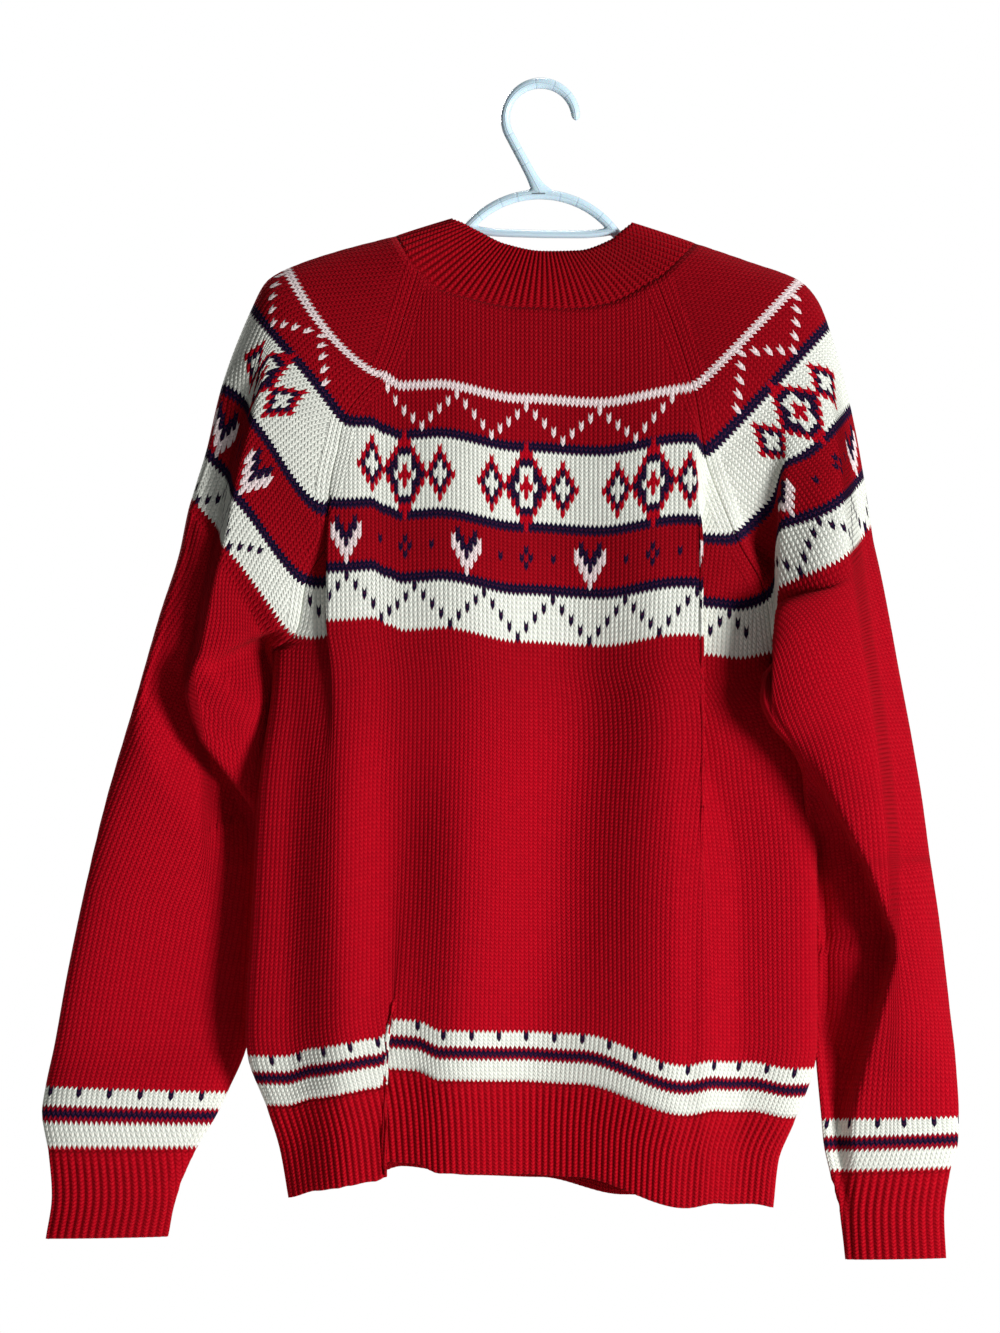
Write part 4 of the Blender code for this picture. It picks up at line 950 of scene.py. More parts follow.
class Shell:
    """A sheet with its thickness: an outer side, an inner side and the rims between them."""

    def __init__(self, sheet: Sheet) -> None:
        """Places both sides' points.

        Args:
            sheet: The piece.
        """
        self.sheet = sheet
        self.count = sheet.at.size
        base, height = sheet.places.reshape(-1, 3), sheet.heights().reshape(-1, 1)
        outer = base + sheet.normals * height
        follow = RIB_FOLLOW if sheet.relief is Relief.RIB else WALE_FOLLOW
        inner = base + sheet.normals * (height * follow - sheet.wall)
        self.points = np.concatenate([outer, inner]) * MM
        self.corners: list[np.ndarray] = []
        self.sizes: list[np.ndarray] = []
        self.maps: dict[str, list[np.ndarray]] = {"OFBake": [], "knit": [], "chart": []}

    def side(self, inner: bool) -> None:
        """Adds the faces of one side and their maps.

        Args:
            inner: Whether it is the wearer's side.
        """
        sheet = self.sheet
        raw = np.arange(self.count).reshape(sheet.at.shape)
        corners, numbers = sheet.quads(sheet.ids), sheet.quads(raw)
        region = np.broadcast_to(sheet.regions()[None, :, None], corners.shape)
        if inner:
            corners, numbers, region = (a[..., ::-1] for a in (corners, numbers, region))
        corners, numbers, region = (a.reshape(-1, 4) for a in (corners, numbers, region))
        kept = corners != np.roll(corners, 1, axis=1)
        kept &= (kept.sum(axis=1) > 2)[:, None]
        number = numbers[kept]
        wales = np.stack([w.reshape(-1) for w in sheet.wales()])
        rows = sheet.rows.reshape(-1)[number]
        self.corners.append(corners[kept] + (self.count if inner else 0))
        self.sizes.append(kept.sum(axis=1)[kept.any(axis=1)])
        self.maps["knit"].append(np.stack([wales[region[kept], number], rows], axis=1))
        self.maps["chart"].append(np.stack([sheet.at.reshape(-1)[number], rows], axis=1))
        low, high = INNER_BAKE if inner else OUTER_BAKE
        u = BAKE_EDGE + (1 - 2 * BAKE_EDGE) * (number % sheet.at.shape[1]) / (sheet.at.shape[1] - 1)
        v = high - (high - low) * (number // sheet.at.shape[1]) / (sheet.at.shape[0] - 1)
        self.maps["OFBake"].append(np.stack([u, v], axis=1))

    def rims(self) -> None:
        """Closes every open edge between the two sides."""
        sheet = self.sheet
        ids = sheet.ids
        split = int(np.sum(ids[:, 0] != ids[:, -1])) + 1
        lines = [ids[0], ids[-1][::-1]]
        if split > 1:
            lines += [ids[:split, 0][::-1], ids[:split, -1]]
        starts, ends = [], []
        for line in lines:
            line = line[np.concatenate([[True], np.diff(line) != 0])]
            starts.append(line[:-1])
            ends.append(line[1:])
        a, b = np.concatenate(starts), np.concatenate(ends)
        faces = np.stack([a, b, b + self.count, a + self.count], axis=1)
        share = np.arange(len(a)) / len(a)
        u = np.stack([share, share + 1 / len(a), share + 1 / len(a), share], axis=1)
        v = np.broadcast_to([RIM_BAKE[0], RIM_BAKE[0], RIM_BAKE[1], RIM_BAKE[1]], u.shape)
        number = np.stack([a, b, b, a], axis=1)
        if sheet.flip:
            faces, u, v, number = (x[:, ::-1] for x in (faces, u, v, number))
        number = number.reshape(-1)
        at, rows = sheet.at.reshape(-1)[number], sheet.rows.reshape(-1)[number]
        wales = sheet.wales()[len(sheet.wales()) // 2].reshape(-1)[number]
        self.corners.append(faces.reshape(-1))
        self.sizes.append(np.full(len(a), 4))
        self.maps["OFBake"].append(np.stack([u.reshape(-1), v.reshape(-1)], axis=1))
        self.maps["knit"].append(np.stack([wales, rows], axis=1))
        self.maps["chart"].append(np.stack([at, rows], axis=1))

    def mesh(self) -> bpy.types.Mesh:
        """Makes the mesh in metres, closed and with its maps.

        Returns:
            The mesh.
        """
        self.side(inner=False)
        self.side(inner=True)
        self.rims()
        corners, sizes = np.concatenate(self.corners), np.concatenate(self.sizes)
        used, corners = np.unique(corners, return_inverse=True)
        mesh = bpy.data.meshes.new(self.sheet.name)
        mesh.vertices.add(len(used))
        mesh.vertices.foreach_set("co", self.points[used].astype(np.float32).ravel())
        mesh.loops.add(len(corners))
        mesh.loops.foreach_set("vertex_index", corners.astype(np.int32))
        mesh.polygons.add(len(sizes))
        starts = np.concatenate([[0], np.cumsum(sizes)[:-1]])
        mesh.polygons.foreach_set("loop_start", starts.astype(np.int32))
        mesh.update(calc_edges=True)
        for name, values in self.maps.items():
            layer = mesh.uv_layers.new(name=name)
            layer.data.foreach_set("uv", np.concatenate(values).astype(np.float32).ravel())
        mesh.uv_layers["OFBake"].active_render = True
        mesh.shade_smooth()
        mesh.validate()
        return mesh


class Number:
    """A number that a material's nodes work out at each place of a surface."""

    def __init__(self, shader: Shader, socket: bpy.types.NodeSocket) -> None:
        """Wraps an output socket of a shader."""
        self.shader, self.socket = shader, socket

    def maths(self, operation: str, *values: Number | float) -> Number:
        """Adds one Math node and returns its result."""
        return self.shader.maths(operation, *values)

    def __add__(self, other: Number | float) -> Number:
        """The sum."""
        return self.maths("ADD", self, other)

    __radd__ = __add__

    def __sub__(self, other: Number | float) -> Number:
        """The difference."""
        return self.maths("SUBTRACT", self, other)

    def __rsub__(self, other: float) -> Number:
        """The difference from a plain number."""
        return self.maths("SUBTRACT", other, self)

    def __mul__(self, other: Number | float) -> Number:
        """The product, which for masks is both."""
        return self.maths("MULTIPLY", self, other)

    __rmul__ = __mul__

    def __pow__(self, power: float) -> Number:
        """The number raised to a power."""
        return self.maths("POWER", self, power)

    def __mod__(self, other: float) -> Number:
        """The remainder, which is never below zero."""
        return self.maths("FLOORED_MODULO", self, other)

    def __abs__(self) -> Number:
        """The size without its sign."""
        return self.maths("ABSOLUTE", self)

    def __or__(self, other: Number) -> Number:
        """The larger, which for masks is either."""
        return self.maths("MAXIMUM", self, other)

    def __gt__(self, other: float) -> Number:
        """A mask of where it is above a number."""
        return self.maths("GREATER_THAN", self, other)

    def __lt__(self, other: float) -> Number:
        """A mask of where it is below a number."""
        return self.maths("LESS_THAN", self, other)

    def within(self, low: float, high: float) -> Number:
        """A mask of where it lies between two numbers."""
        return (self > low) * (self < high)

    def between(self, low: float, high: float) -> Number:
        """Rises from 0 to 1 as it goes from one number to another."""
        return self.maths("MINIMUM", self.maths("MAXIMUM", (self - low) * (1 / (high - low)), 0.0), 1.0)

    def floor(self) -> Number:
        """The whole number below."""
        return self.maths("FLOOR", self)

    def fraction(self) -> Number:
        """What is left above the whole number below."""
        return self.maths("FRACT", self)

    def equals(self, other: Number | float) -> Number:
        """A mask of where two whole numbers are the same."""
        return self.maths("COMPARE", self, other, 0.25)


Input = Number | bpy.types.NodeSocket | float | Colour


class Shader:
    """A material's nodes."""

    def __init__(self, name: str) -> None:
        """Starts a material with a plain surface.

        Args:
            name: The material's name.
        """
        self.material = bpy.data.materials.new(name)
        self.material.use_nodes = True
        self.tree = self.material.node_tree
        self.surface = self.tree.nodes["Principled BSDF"]

    def node(
        self,
        kind: str,
        settings: dict[str, object] | None = None,
        values: dict[int | str, Input] | None = None,
    ) -> bpy.types.Node:
        """Adds a node.

        Args:
            kind: The node's type.
            settings: What is set on the node itself, first.
            values: A number, a colour or a link for each socket.

        Returns:
            The node.
        """
        node = self.tree.nodes.new(kind)
        for name, value in (settings or {}).items():
            setattr(node, name, value)
        for socket, value in (values or {}).items():
            self.feed(node.inputs[socket], value)
        return node

    def feed(self, socket: bpy.types.NodeSocket, value: Input) -> None:
        """Links a socket to a value, or sets it.

        Args:
            socket: The input socket.
            value: A number, a colour or a link.
        """
        if isinstance(value, Number):
            value = value.socket
        if isinstance(value, bpy.types.NodeSocket):
            self.tree.links.new(value, socket)
        else:
            socket.default_value = value

    def maths(self, operation: str, *values: Number | float) -> Number:
        """One Math node on up to three numbers."""
        node = self.node("ShaderNodeMath", {"operation": operation}, dict(enumerate(values)))
        return Number(self, node.outputs[0])

    def map(self, name: str) -> tuple[Number, Number]:
        """Reads one of the mesh's maps.

        Args:
            name: The map's name.

        Returns:
            Its two numbers.
        """
        place = self.node("ShaderNodeUVMap", {"uv_map": name})
        parts = self.node("ShaderNodeSeparateXYZ", values={0: place.outputs[0]})
        return Number(self, parts.outputs[0]), Number(self, parts.outputs[1])

    def attribute(self, name: str) -> Number:
        """A number that the mesh holds at each point."""
        return Number(self, self.node("ShaderNodeAttribute", {"attribute_name": name}).outputs["Fac"])

    def mix(self, share: Input, first: Input, second: Input) -> bpy.types.NodeSocket:
        """Goes from the first colour to the second as share goes from 0 to 1."""
        node = self.node("ShaderNodeMix", {"data_type": "RGBA"}, {0: share, 6: first, 7: second})
        return node.outputs[2]

    def shade(self, colour: Input, by: Number) -> bpy.types.NodeSocket:
        """A colour made lighter or darker."""
        node = self.node("ShaderNodeVectorMath", {"operation": "SCALE"}, {0: colour, 3: by})
        return node.outputs[0]

    def noise(self, place: tuple[Number, Number], scale: float, detail: float) -> Number:
        """Makes cloudy noise over two numbers.

        Args:
            place: The two numbers.
            scale: How many clouds there are in a unit.
            detail: How many finer layers are added.

        Returns:
            A number around 0.5.
        """
        spot = self.node("ShaderNodeCombineXYZ", values={0: place[0], 1: place[1]})
        settings = {"noise_dimensions": "2D"}
        values = {"Vector": spot.outputs[0], "Scale": scale, "Detail": detail}
        return Number(self, self.node("ShaderNodeTexNoise", settings, values).outputs[0])

    def grain(self, place: tuple[Number, Number]) -> Number:
        """Gives each unit square over two numbers a value of its own.

        Args:
            place: The two numbers.

        Returns:
            A number from 0 to 1.
        """
        spot = self.node("ShaderNodeCombineXYZ", values={0: place[0].floor(), 1: place[1].floor()})
        settings = {"noise_dimensions": "2D"}
        return Number(self, self.node("ShaderNodeTexWhiteNoise", settings, {0: spot.outputs[0]}).outputs[0])

    def bump(self, height: Number, depth: float) -> None:
        """Raises the surface by up to a depth in metres."""
        node = self.node("ShaderNodeBump", values={"Distance": depth, "Height": height})
        self.feed(self.surface.inputs["Normal"], node.outputs[0])

    def set(self, **values: Input) -> None:
        """Sets or links the surface's sockets, named with underscores for their spaces."""
        for name, value in values.items():
            self.feed(self.surface.inputs[name.replace("_", " ")], value)


class Pattern(Enum):
    """What is knitted in more colours than red."""

    PANEL = "panel"
    SLEEVE = "sleeve"
    NONE = "none"


@dataclass(frozen=True)
class Wool:
    """The yarns' colours, with a darker red that paints the yoke's shade and a light fleck that is partly
    painted highlight.
    """

    red: Colour = (0.455, 0.0004, 0.0095, 1.0)
    # Painted shade: a darker red for the yoke, above the chest
    shaded_yoke_red: Colour = (0.31, 0.0003, 0.0062, 1.0)
    deep_red: Colour = (0.30, 0.002, 0.014, 1.0)
    rib_red: Colour = (0.44, 0.0004, 0.008, 1.0)
    # Light pink on the stitches' crests: the fibre's own colour and a painted highlight
    fleck_and_highlight: Colour = (0.80, 0.07, 0.09, 1.0)
    white: Colour = (0.90, 0.94, 0.85, 1.0)
    pink_white: Colour = (0.94, 0.80, 0.80, 1.0)
    navy: Colour = (0.0015, 0.004, 0.028, 1.0)


# Painted shade: the neckband's ribbing is a darker red than the other ribs, for the dim top of the jumper
SHADED_COLLAR_WOOL = Wool(rib_red=(0.33, 0.0003, 0.006, 1.0))


@dataclass(frozen=True)
class Band:
    """Rows of the striped band above a rib, from its top edge down."""

    top: float
    edge: float
    navy: float
    navy_end: float
    edge_end: float
    end: float
    tick: float


@dataclass(frozen=True)
class Reaches:
    """Between which stitches each part of the pattern runs."""

    ticks: tuple[float, float]
    diamonds: tuple[float, float]
    hearts: tuple[float, float]
    second_ticks: tuple[float, float]


PANEL_REACHES = Reaches(
    ticks=(-32.5, 32.5), diamonds=(-40, 40), hearts=(-46, 46), second_ticks=(-60, 60)
)
SLEEVE_REACHES = Reaches(
    ticks=(-8.5, 16.5), diamonds=(-13, 13), hearts=(-18, 18), second_ticks=(-26, 25)
)
REPEAT = 28  # stitches from one group of diamonds or heart to the next
ZIGZAG = 16  # stitches from one peak of a zigzag to the next
FIRST_TICKS = (0.5, 5.5)  # rows between which each part of the yoke's pattern lies
DIAMOND_ROWS = (6.5, 15.5)
HEART_ROWS = (17.5, 23.5)
SECOND_TICKS = (24.5, 29.5)
DIAMOND_ROW = 11  # row through the middle of the diamonds
HEART_TOP = 18
CROSS_ROW = 20
NAVY_LINES = (6, 16, 24)  # rows of the navy lines
NAVY_HALF = 0.62  # half the height of a navy line, in rows
YOKE_SHADE_ROWS = (18.0, 46.0)  # rows over which the yoke's painted shade, a darker red towards the neck, gives way to the body's red
BAND_TICKS = 6  # stitches from one tick to the next above a rib
HEM_BAND = Band(top=81.0, edge=83.0, navy=83.45, navy_end=84.25, edge_end=84.7, end=87.35, tick=82.1)
CUFF_BAND = Band(
    top=104.8, edge=107.1, navy=107.6, navy_end=108.35, edge_end=108.9, end=111.2, tick=105.9
)


class Chart:
    """The coloured pattern over stitches and rows. It repeats every 28 stitches."""

    def __init__(self, shader: Shader, wool: Wool, pattern: Pattern) -> None:
        """Reads the stitch and the row at each place.

        Args:
            shader: The material's nodes.
            wool: The yarns.
            pattern: Which piece it is for.
        """
        self.shader, self.wool = shader, wool
        self.reaches = PANEL_REACHES if pattern is Pattern.PANEL else SLEEVE_REACHES
        stitch, row = shader.map("chart")
        across = (stitch + 0.5).fraction()
        self.column = (stitch + 0.5).floor()
        self.reach = row - 0.5 * (0.5 - abs(2 * across - 1))
        self.row = (self.reach + 0.5).floor()

    def yoke(self, ground: Input) -> bpy.types.NodeSocket:
        """The yoke: a white line, a zigzag, diamonds, hearts and a second zigzag.

        Args:
            ground: The colour they are knitted into.

        Returns:
            The colour with the pattern in it.
        """
        shader, wool, row = self.shader, self.wool, self.row
        reaches, column, half = self.reaches, self.column, ZIGZAG // 2
        c = abs((column + REPEAT // 2) % REPEAT - REPEAT // 2)
        light, dark = row.within(*DIAMOND_ROWS), row.within(*SECOND_TICKS)
        ticks = (2 * row - 2).equals(abs((column + 8) % ZIGZAG - half)) * row.within(*FIRST_TICKS)
        ticks = ticks * column.within(*reaches.ticks)
        second = (2 * row - 50).equals(abs((column + 2) % ZIGZAG - half)) * dark
        second = second * column.within(*reaches.second_ticks)
        group = column.within(*reaches.diamonds)
        r = abs(row - DIAMOND_ROW)
        d, s = r + c, r + abs(c - 8)
        navy = light * group * ((d < 4.5) | s.equals(2)) | second
        for line in NAVY_LINES:
            navy = navy | (abs(self.reach - line) < NAVY_HALF)
        white = light * group * (r.equals(2) * (c < 1.5) | d.equals(2) * (r < 1.5))
        red = d.equals(5) | r.equals(4) * c.equals(0) | (d < 1.5) | s.equals(3) * (r < 3.5)
        red = red * self.reach.within(NAVY_LINES[0] - NAVY_HALF, NAVY_LINES[1] + NAVY_HALF) * group
        hearts = row.within(*HEART_ROWS) * column.within(*reaches.hearts)
        h = abs(column % REPEAT - REPEAT // 2)
        k = row - HEART_TOP
        navy = navy | hearts * (k + h).within(1.5, 3.5) * (h < 2.5)
        cross = (abs(row - CROSS_ROW) + c).equals(1)
        navy = navy | hearts * (cross | row.equals(CROSS_ROW) * c.equals(6))
        pink = hearts * (k + h).within(3.5, 5.5) * (h < 3.5) * (k > 0.5)
        colour = shader.mix(light | dark, ground, wool.white)
        colour = shader.mix(navy, colour, wool.navy)
        colour = shader.mix(white, colour, wool.white)
        colour = shader.mix(red, colour, wool.red)
        return shader.mix(row.equals(0) | ticks | pink, colour, wool.pink_white)

    def band(self, ground: Input, band: Band) -> bpy.types.NodeSocket:
        """The striped band above a rib.

        Args:
            ground: The colour it is knitted into.
            band: Its rows.

        Returns:
            The colour with the band in it.
        """
        shader, wool, reach = self.shader, self.wool, self.reach
        ticks = (self.column % BAND_TICKS).equals(0) * reach.within(band.top, band.tick)
        colour = shader.mix(reach.within(band.top, band.end), ground, wool.white)
        colour = shader.mix(ticks, colour, wool.navy)
        colour = shader.mix(reach.within(band.edge, band.edge_end), colour, wool.deep_red)
        return shader.mix(reach.within(band.navy, band.navy_end), colour, wool.navy)


@dataclass(frozen=True)
class Knitting:
    """Knitted wool: coloured stitches, their relief, the painted shade between them, and loose fibre whose
    flecks are partly painted highlight.
    """

    name: str
    pattern: Pattern
    relief: Relief
    wool: Wool = Wool()
    slant: float = 0.6  # courses that a stitch's middle lies below its ends
    stitch_depth: float = 0.45 * MM
    roughness: float = 0.88
    specular: float = 0.05
    sheen: float = 0.02
    sheen_roughness: float = 0.4
    fleck_and_highlight: float = 0.10  # share of it where fibre stands up: fibre colour and painted highlight
    groove_shade: float = 0.34  # painted shade: how much darker the colour is between two wales
    rib_shade: float = 0.5  # painted shade between two ribs
    course_shade: float = 0.16  # painted shade between two courses
    fibre_shade: float = 0.2
    grain_shade: float = 0.1  # from one stitch to the next
    parting: float = 0.12  # share of a wale's width that its middle parting takes
    parting_depth: float = 0.35  # share of the stitch's depth
    fibre_depth: float = 0.35

    def material(self) -> bpy.types.Material:
        """Makes the material.

        Returns:
            The material.
        """
        shader = Shader(self.name)
        wale, row = shader.map("knit")
        across = abs(2 * wale.fraction() - 1)
        course = 2 * row - self.slant * (1 - across)
        stitch = 1 - (2 * course.fraction() - 1) ** 2
        fibre = shader.noise((wale * 5, course * 4), 1.0, 3.0)
        grain = shader.grain((wale, course))
        colour: Input = self.wool.rib_red if self.relief is Relief.RIB else self.wool.red
        if self.pattern is not Pattern.NONE:
            # Painted shade: the red darkens from these rows up towards the neck
            colour = shader.mix(row.between(*YOKE_SHADE_ROWS), self.wool.shaded_yoke_red, colour)
            chart = Chart(shader, self.wool, self.pattern)
            band = HEM_BAND if self.pattern is Pattern.PANEL else CUFF_BAND
            colour = chart.band(chart.yoke(colour), band)
        groove = across**4
        # Fibre colour and painted highlight: a lighter fleck on the stitches' crests where the noise is
        # high
        fleck_and_highlight = (1 - groove) * stitch**3 * (fibre > 0.5) * self.fleck_and_highlight
        colour = shader.mix(fleck_and_highlight, colour, self.wool.fleck_and_highlight)
        # Painted shade in the grooves between wales and between courses. Fibre and grain vary the tone at
        # random.
        deep = self.rib_shade if self.relief is Relief.RIB else self.groove_shade
        light = (1 - deep * groove) * (1 - self.course_shade + self.course_shade * stitch)
        light = light * (1 - self.fibre_shade / 2 + self.fibre_shade * fibre)
        light = light * (1 - self.grain_shade / 2 + self.grain_shade * grain)
        colour = shader.shade(colour, light)
        shader.set(Base_Color=colour, Roughness=self.roughness, Specular_IOR_Level=self.specular)
        shader.set(Sheen_Weight=self.sheen, Sheen_Roughness=self.sheen_roughness)
        parting = self.parting_depth * (across < self.parting)
        height = stitch * (1 - 0.5 * groove) - parting + self.fibre_depth * fibre
        shader.bump(height, self.stitch_depth)
        return shader.material


@dataclass(frozen=True)
class Moulding:
    """Pale blue plastic, glossy, with its parting line, the short marks across it and the painted shade of
    a slot at the hub.
    """

    name: str = "pale blue plastic"
    colour: Colour = (0.66, 0.86, 0.98, 1.0)
    shade: Colour = (0.30, 0.42, 0.55, 1.0)
    # Painted shade of a slot across the hub, which isn't cut in the mesh
    slot_shade: Colour = (0.05, 0.06, 0.07, 1.0)
    roughness: float = 0.28
    specular: float = 0.5
    coat: float = 0.2
    inner_glow: float = 0.1
    inner_depth: float = 2 * MM  # how far light spreads inside it
    ridge_narrow: float = 2.2  # 1 over the half width of the parting line, in 1 / mm
    ridge_shade: float = 0.12
    mark_shade: float = 0.35
    mark_depth: float = 0.6  # share of the parting line's height
    ridge_height: float = 0.25 * MM

    def material(self) -> bpy.types.Material:
        """Makes the material.

        Returns:
            The material.
        """
        shader = Shader(self.name)
        across = shader.attribute("across")
        ridge = 1 - abs(across) * self.ridge_narrow
        ridge = (ridge > 0) * ridge
        mark = shader.attribute("mark")
        colour = shader.mix(self.mark_shade * mark + self.ridge_shade * ridge, self.colour, self.shade)
        # Painted shade of the slot at the hub
        colour = shader.mix(shader.attribute("slot_shade"), colour, self.slot_shade)
        shader.set(Base_Color=colour, Roughness=self.roughness, Specular_IOR_Level=self.specular)
        shader.set(Subsurface_Weight=self.inner_glow, Subsurface_Scale=self.inner_depth)
        shader.set(Coat_Weight=self.coat)
        shader.bump(ridge - self.mark_depth * mark, self.ridge_height)
        return shader.material


class Garment:
    """The nine knitted pieces."""

    def __init__(self) -> None:
        """Lays out the body and the two arms."""
        self.body = Body()
        self.arms = {hand: Arm(hand, self.body) for hand in Hand}

    def steps_down(self, last: float, steps: int) -> list[tuple[float, float]]:
        """Goes from the neck seam down to the underarm and on.

        Args:
            last: The last row.
            steps: How many rows of points lie below the underarm.

        Returns:
            Each row of points: its row, and its share of the way from there up to the neck edge.
        """
        neck = [(0.0, float(share)) for share in np.linspace(1, 0, NECK_STEPS + 1)[:-1]]
        yoke = np.linspace(0, UNDERARM, YOKE_STEPS + 1)
        below = np.linspace(UNDERARM, last, steps + 1)[1:]
        return neck + [(float(row), 0.0) for row in (*yoke, *below)]

    def panel(self, layer: Layer, name: str) -> Sheet:
        """Knits the back or the front.

        Args:
            layer: Which of the two.
            name: Its name.

        Returns:
            The piece.
        """
        steps = self.steps_down(RIB_START, BODY_STEPS)
        courses = [self.body.course(layer, row, neck) for row, neck in steps]
        return Sheet.knit(name, courses, layer is Layer.FAR, Relief.PLAIN)

    def hem(self, layer: Layer, name: str) -> Sheet:
        """Knits one layer of the hem's rib.

        Args:
            layer: The layer.
            name: The piece's name.

        Returns:
            The piece.
        """
        rows = np.linspace(RIB_START, HEM, RIB_STEPS + 1)
        courses = [self.body.course(layer, float(row)) for row in rows]
        return Sheet.knit(name, courses, layer is Layer.FAR, Relief.RIB)

    def sleeve(self, hand: Hand) -> Sheet:
        """Knits a sleeve.

        Args:
            hand: Which side it is for.

        Returns:
            The piece.
        """
        steps = self.steps_down(CUFF_START, ARM_STEPS)
        courses = [self.arms[hand].course(row, neck) for row, neck in steps]
        return Sheet.knit(hand.value + " sleeve", courses, hand is Hand.LEFT, Relief.PLAIN, UNDERARM)

    def cuff(self, hand: Hand) -> Sheet:
        """Knits a cuff.

        Args:
            hand: Which side it is for.

        Returns:
            The piece.
        """
        rows = np.linspace(CUFF_START, CUFF_END, RIB_STEPS + 1)
        courses = [self.arms[hand].course(float(row)) for row in rows]
        return Sheet.knit(hand.value + " cuff", courses, hand is Hand.LEFT, Relief.RIB, CUFF_START)

    def neck_ring(self) -> np.ndarray:
        """Follows the neck seam round: back, right sleeve, front, left sleeve.

        Returns:
            The points of a closed line.
        """
        back = self.body.course(Layer.NEAR, 0.0, 1.0).points
        front = self.body.course(Layer.FAR, 0.0, 1.0).points[::-1]
        right = self.arms[Hand.RIGHT].course(0.0, 1.0).points
        left = self.arms[Hand.LEFT].course(0.0, 1.0).points[::-1]
        return np.concatenate([back[:-1], right[:-1], front[:-1], left])

    def pieces(self) -> dict[str, Sheet]:
        """Knits all the pieces but the neckband.

        Returns:
            The pieces by CAD node.
        """
        sheets = {
            "back_panel": self.panel(Layer.NEAR, "back"),
            "front_panel": self.panel(Layer.FAR, "front"),
            "back_hem_rib": self.hem(Layer.NEAR, "back hem rib"),
            "front_hem_rib": self.hem(Layer.FAR, "front hem rib"),
        }
        for hand in Hand:
            sheets[hand.value + "_sleeve"] = self.sleeve(hand)
            sheets[hand.value + "_cuff"] = self.cuff(hand)
        return sheets


@dataclass
class Neckband:
    """The ribbed band round the neck."""

    left: tuple[float, float] = (-63.4, -93.6)  # x and z of its upper corners
    right: tuple[float, float] = (66.2, -96.5)
    ribs: int = 106
    per_rib: int = 6  # columns of points in a rib
    steps: int = 16  # rows of points
    bulge: float = 0.8  # how far its middle stands out
    tuck: float = 2.5  # how far it runs on below the seam, inside the other pieces

    def top(self, share: np.ndarray) -> np.ndarray:
        """The band's upper edge.

        Args:
            share: Shares of the way round, from the left corner along the near layer.

        Returns:
            The points.
        """
        near = share < 0.5
        along = np.where(near, share * 2, 2 - share * 2)
        x = self.left[0] + (self.right[0] - self.left[0]) * along
        z = self.left[1] + (self.right[1] - self.left[1]) * along
        drop = np.where(near, BAND_NEAR.at("drop", along), BAND_FAR.at("drop", along))
        out = np.where(near, -BAND_NEAR.at("out", along), BAND_FAR.at("out", along))
        return np.stack([x, out, z - drop], axis=-1)

    def sheet(self, ring: np.ndarray) -> Sheet:
        """Knits the band on to the neck seam.

        Args:
            ring: The seam as a closed line.

        Returns:
            The band.
        """
        length = arc_length(ring)
        left = length[int(np.argmin(ring[:, 0]))]
        right = length[int(np.argmax(ring[:, 0]))]
        count = self.ribs * self.per_rib
        shares = np.arange(count + 1) / count % 1.0
        near_at = left + shares * 2 * (length[-1] - left + right)
        far_at = right + (shares * 2 - 1) * (left - right)
        at = np.mod(np.where(shares < 0.5, near_at, far_at), length[-1])
        seam = np.stack([np.interp(at, length, ring[:, k]) for k in range(3)], axis=1)
        top = self.top(shares)
        run = top - seam
        height = np.linalg.norm(run, axis=1, keepdims=True)
        level = np.linspace(0, 1, self.steps + 1)
        lines = [seam + run * share for share in level]
        centre = np.mean(lines, axis=(0, 1))
        out = np.array(lines) - centre
        out[..., 2] = 0
        out /= np.linalg.norm(out, axis=-1, keepdims=True)
        places = np.array(lines) + out * (self.bulge * 4 * level * (1 - level))[:, None, None]
        start = seam - run / height * self.tuck - out[0] * self.tuck
        places = np.concatenate([start[None], places])
        stitches = np.linspace(0, self.ribs * RIB_STITCHES, count + 1)
        rows = np.concatenate([[-self.tuck / ROW], level * float(height.mean()) / ROW])
        grid = np.broadcast_to(rows[:, None], places.shape[:2]).copy()
        at_grid = np.broadcast_to(stitches[None, :], places.shape[:2]).copy()
        ids = np.arange(at_grid.size).reshape(at_grid.shape)
        ids[:, -1] = ids[:, 0]
        return Sheet("neckband", places, at_grid, grid, ids, True, Relief.RIB, wall=BAND_WALL)


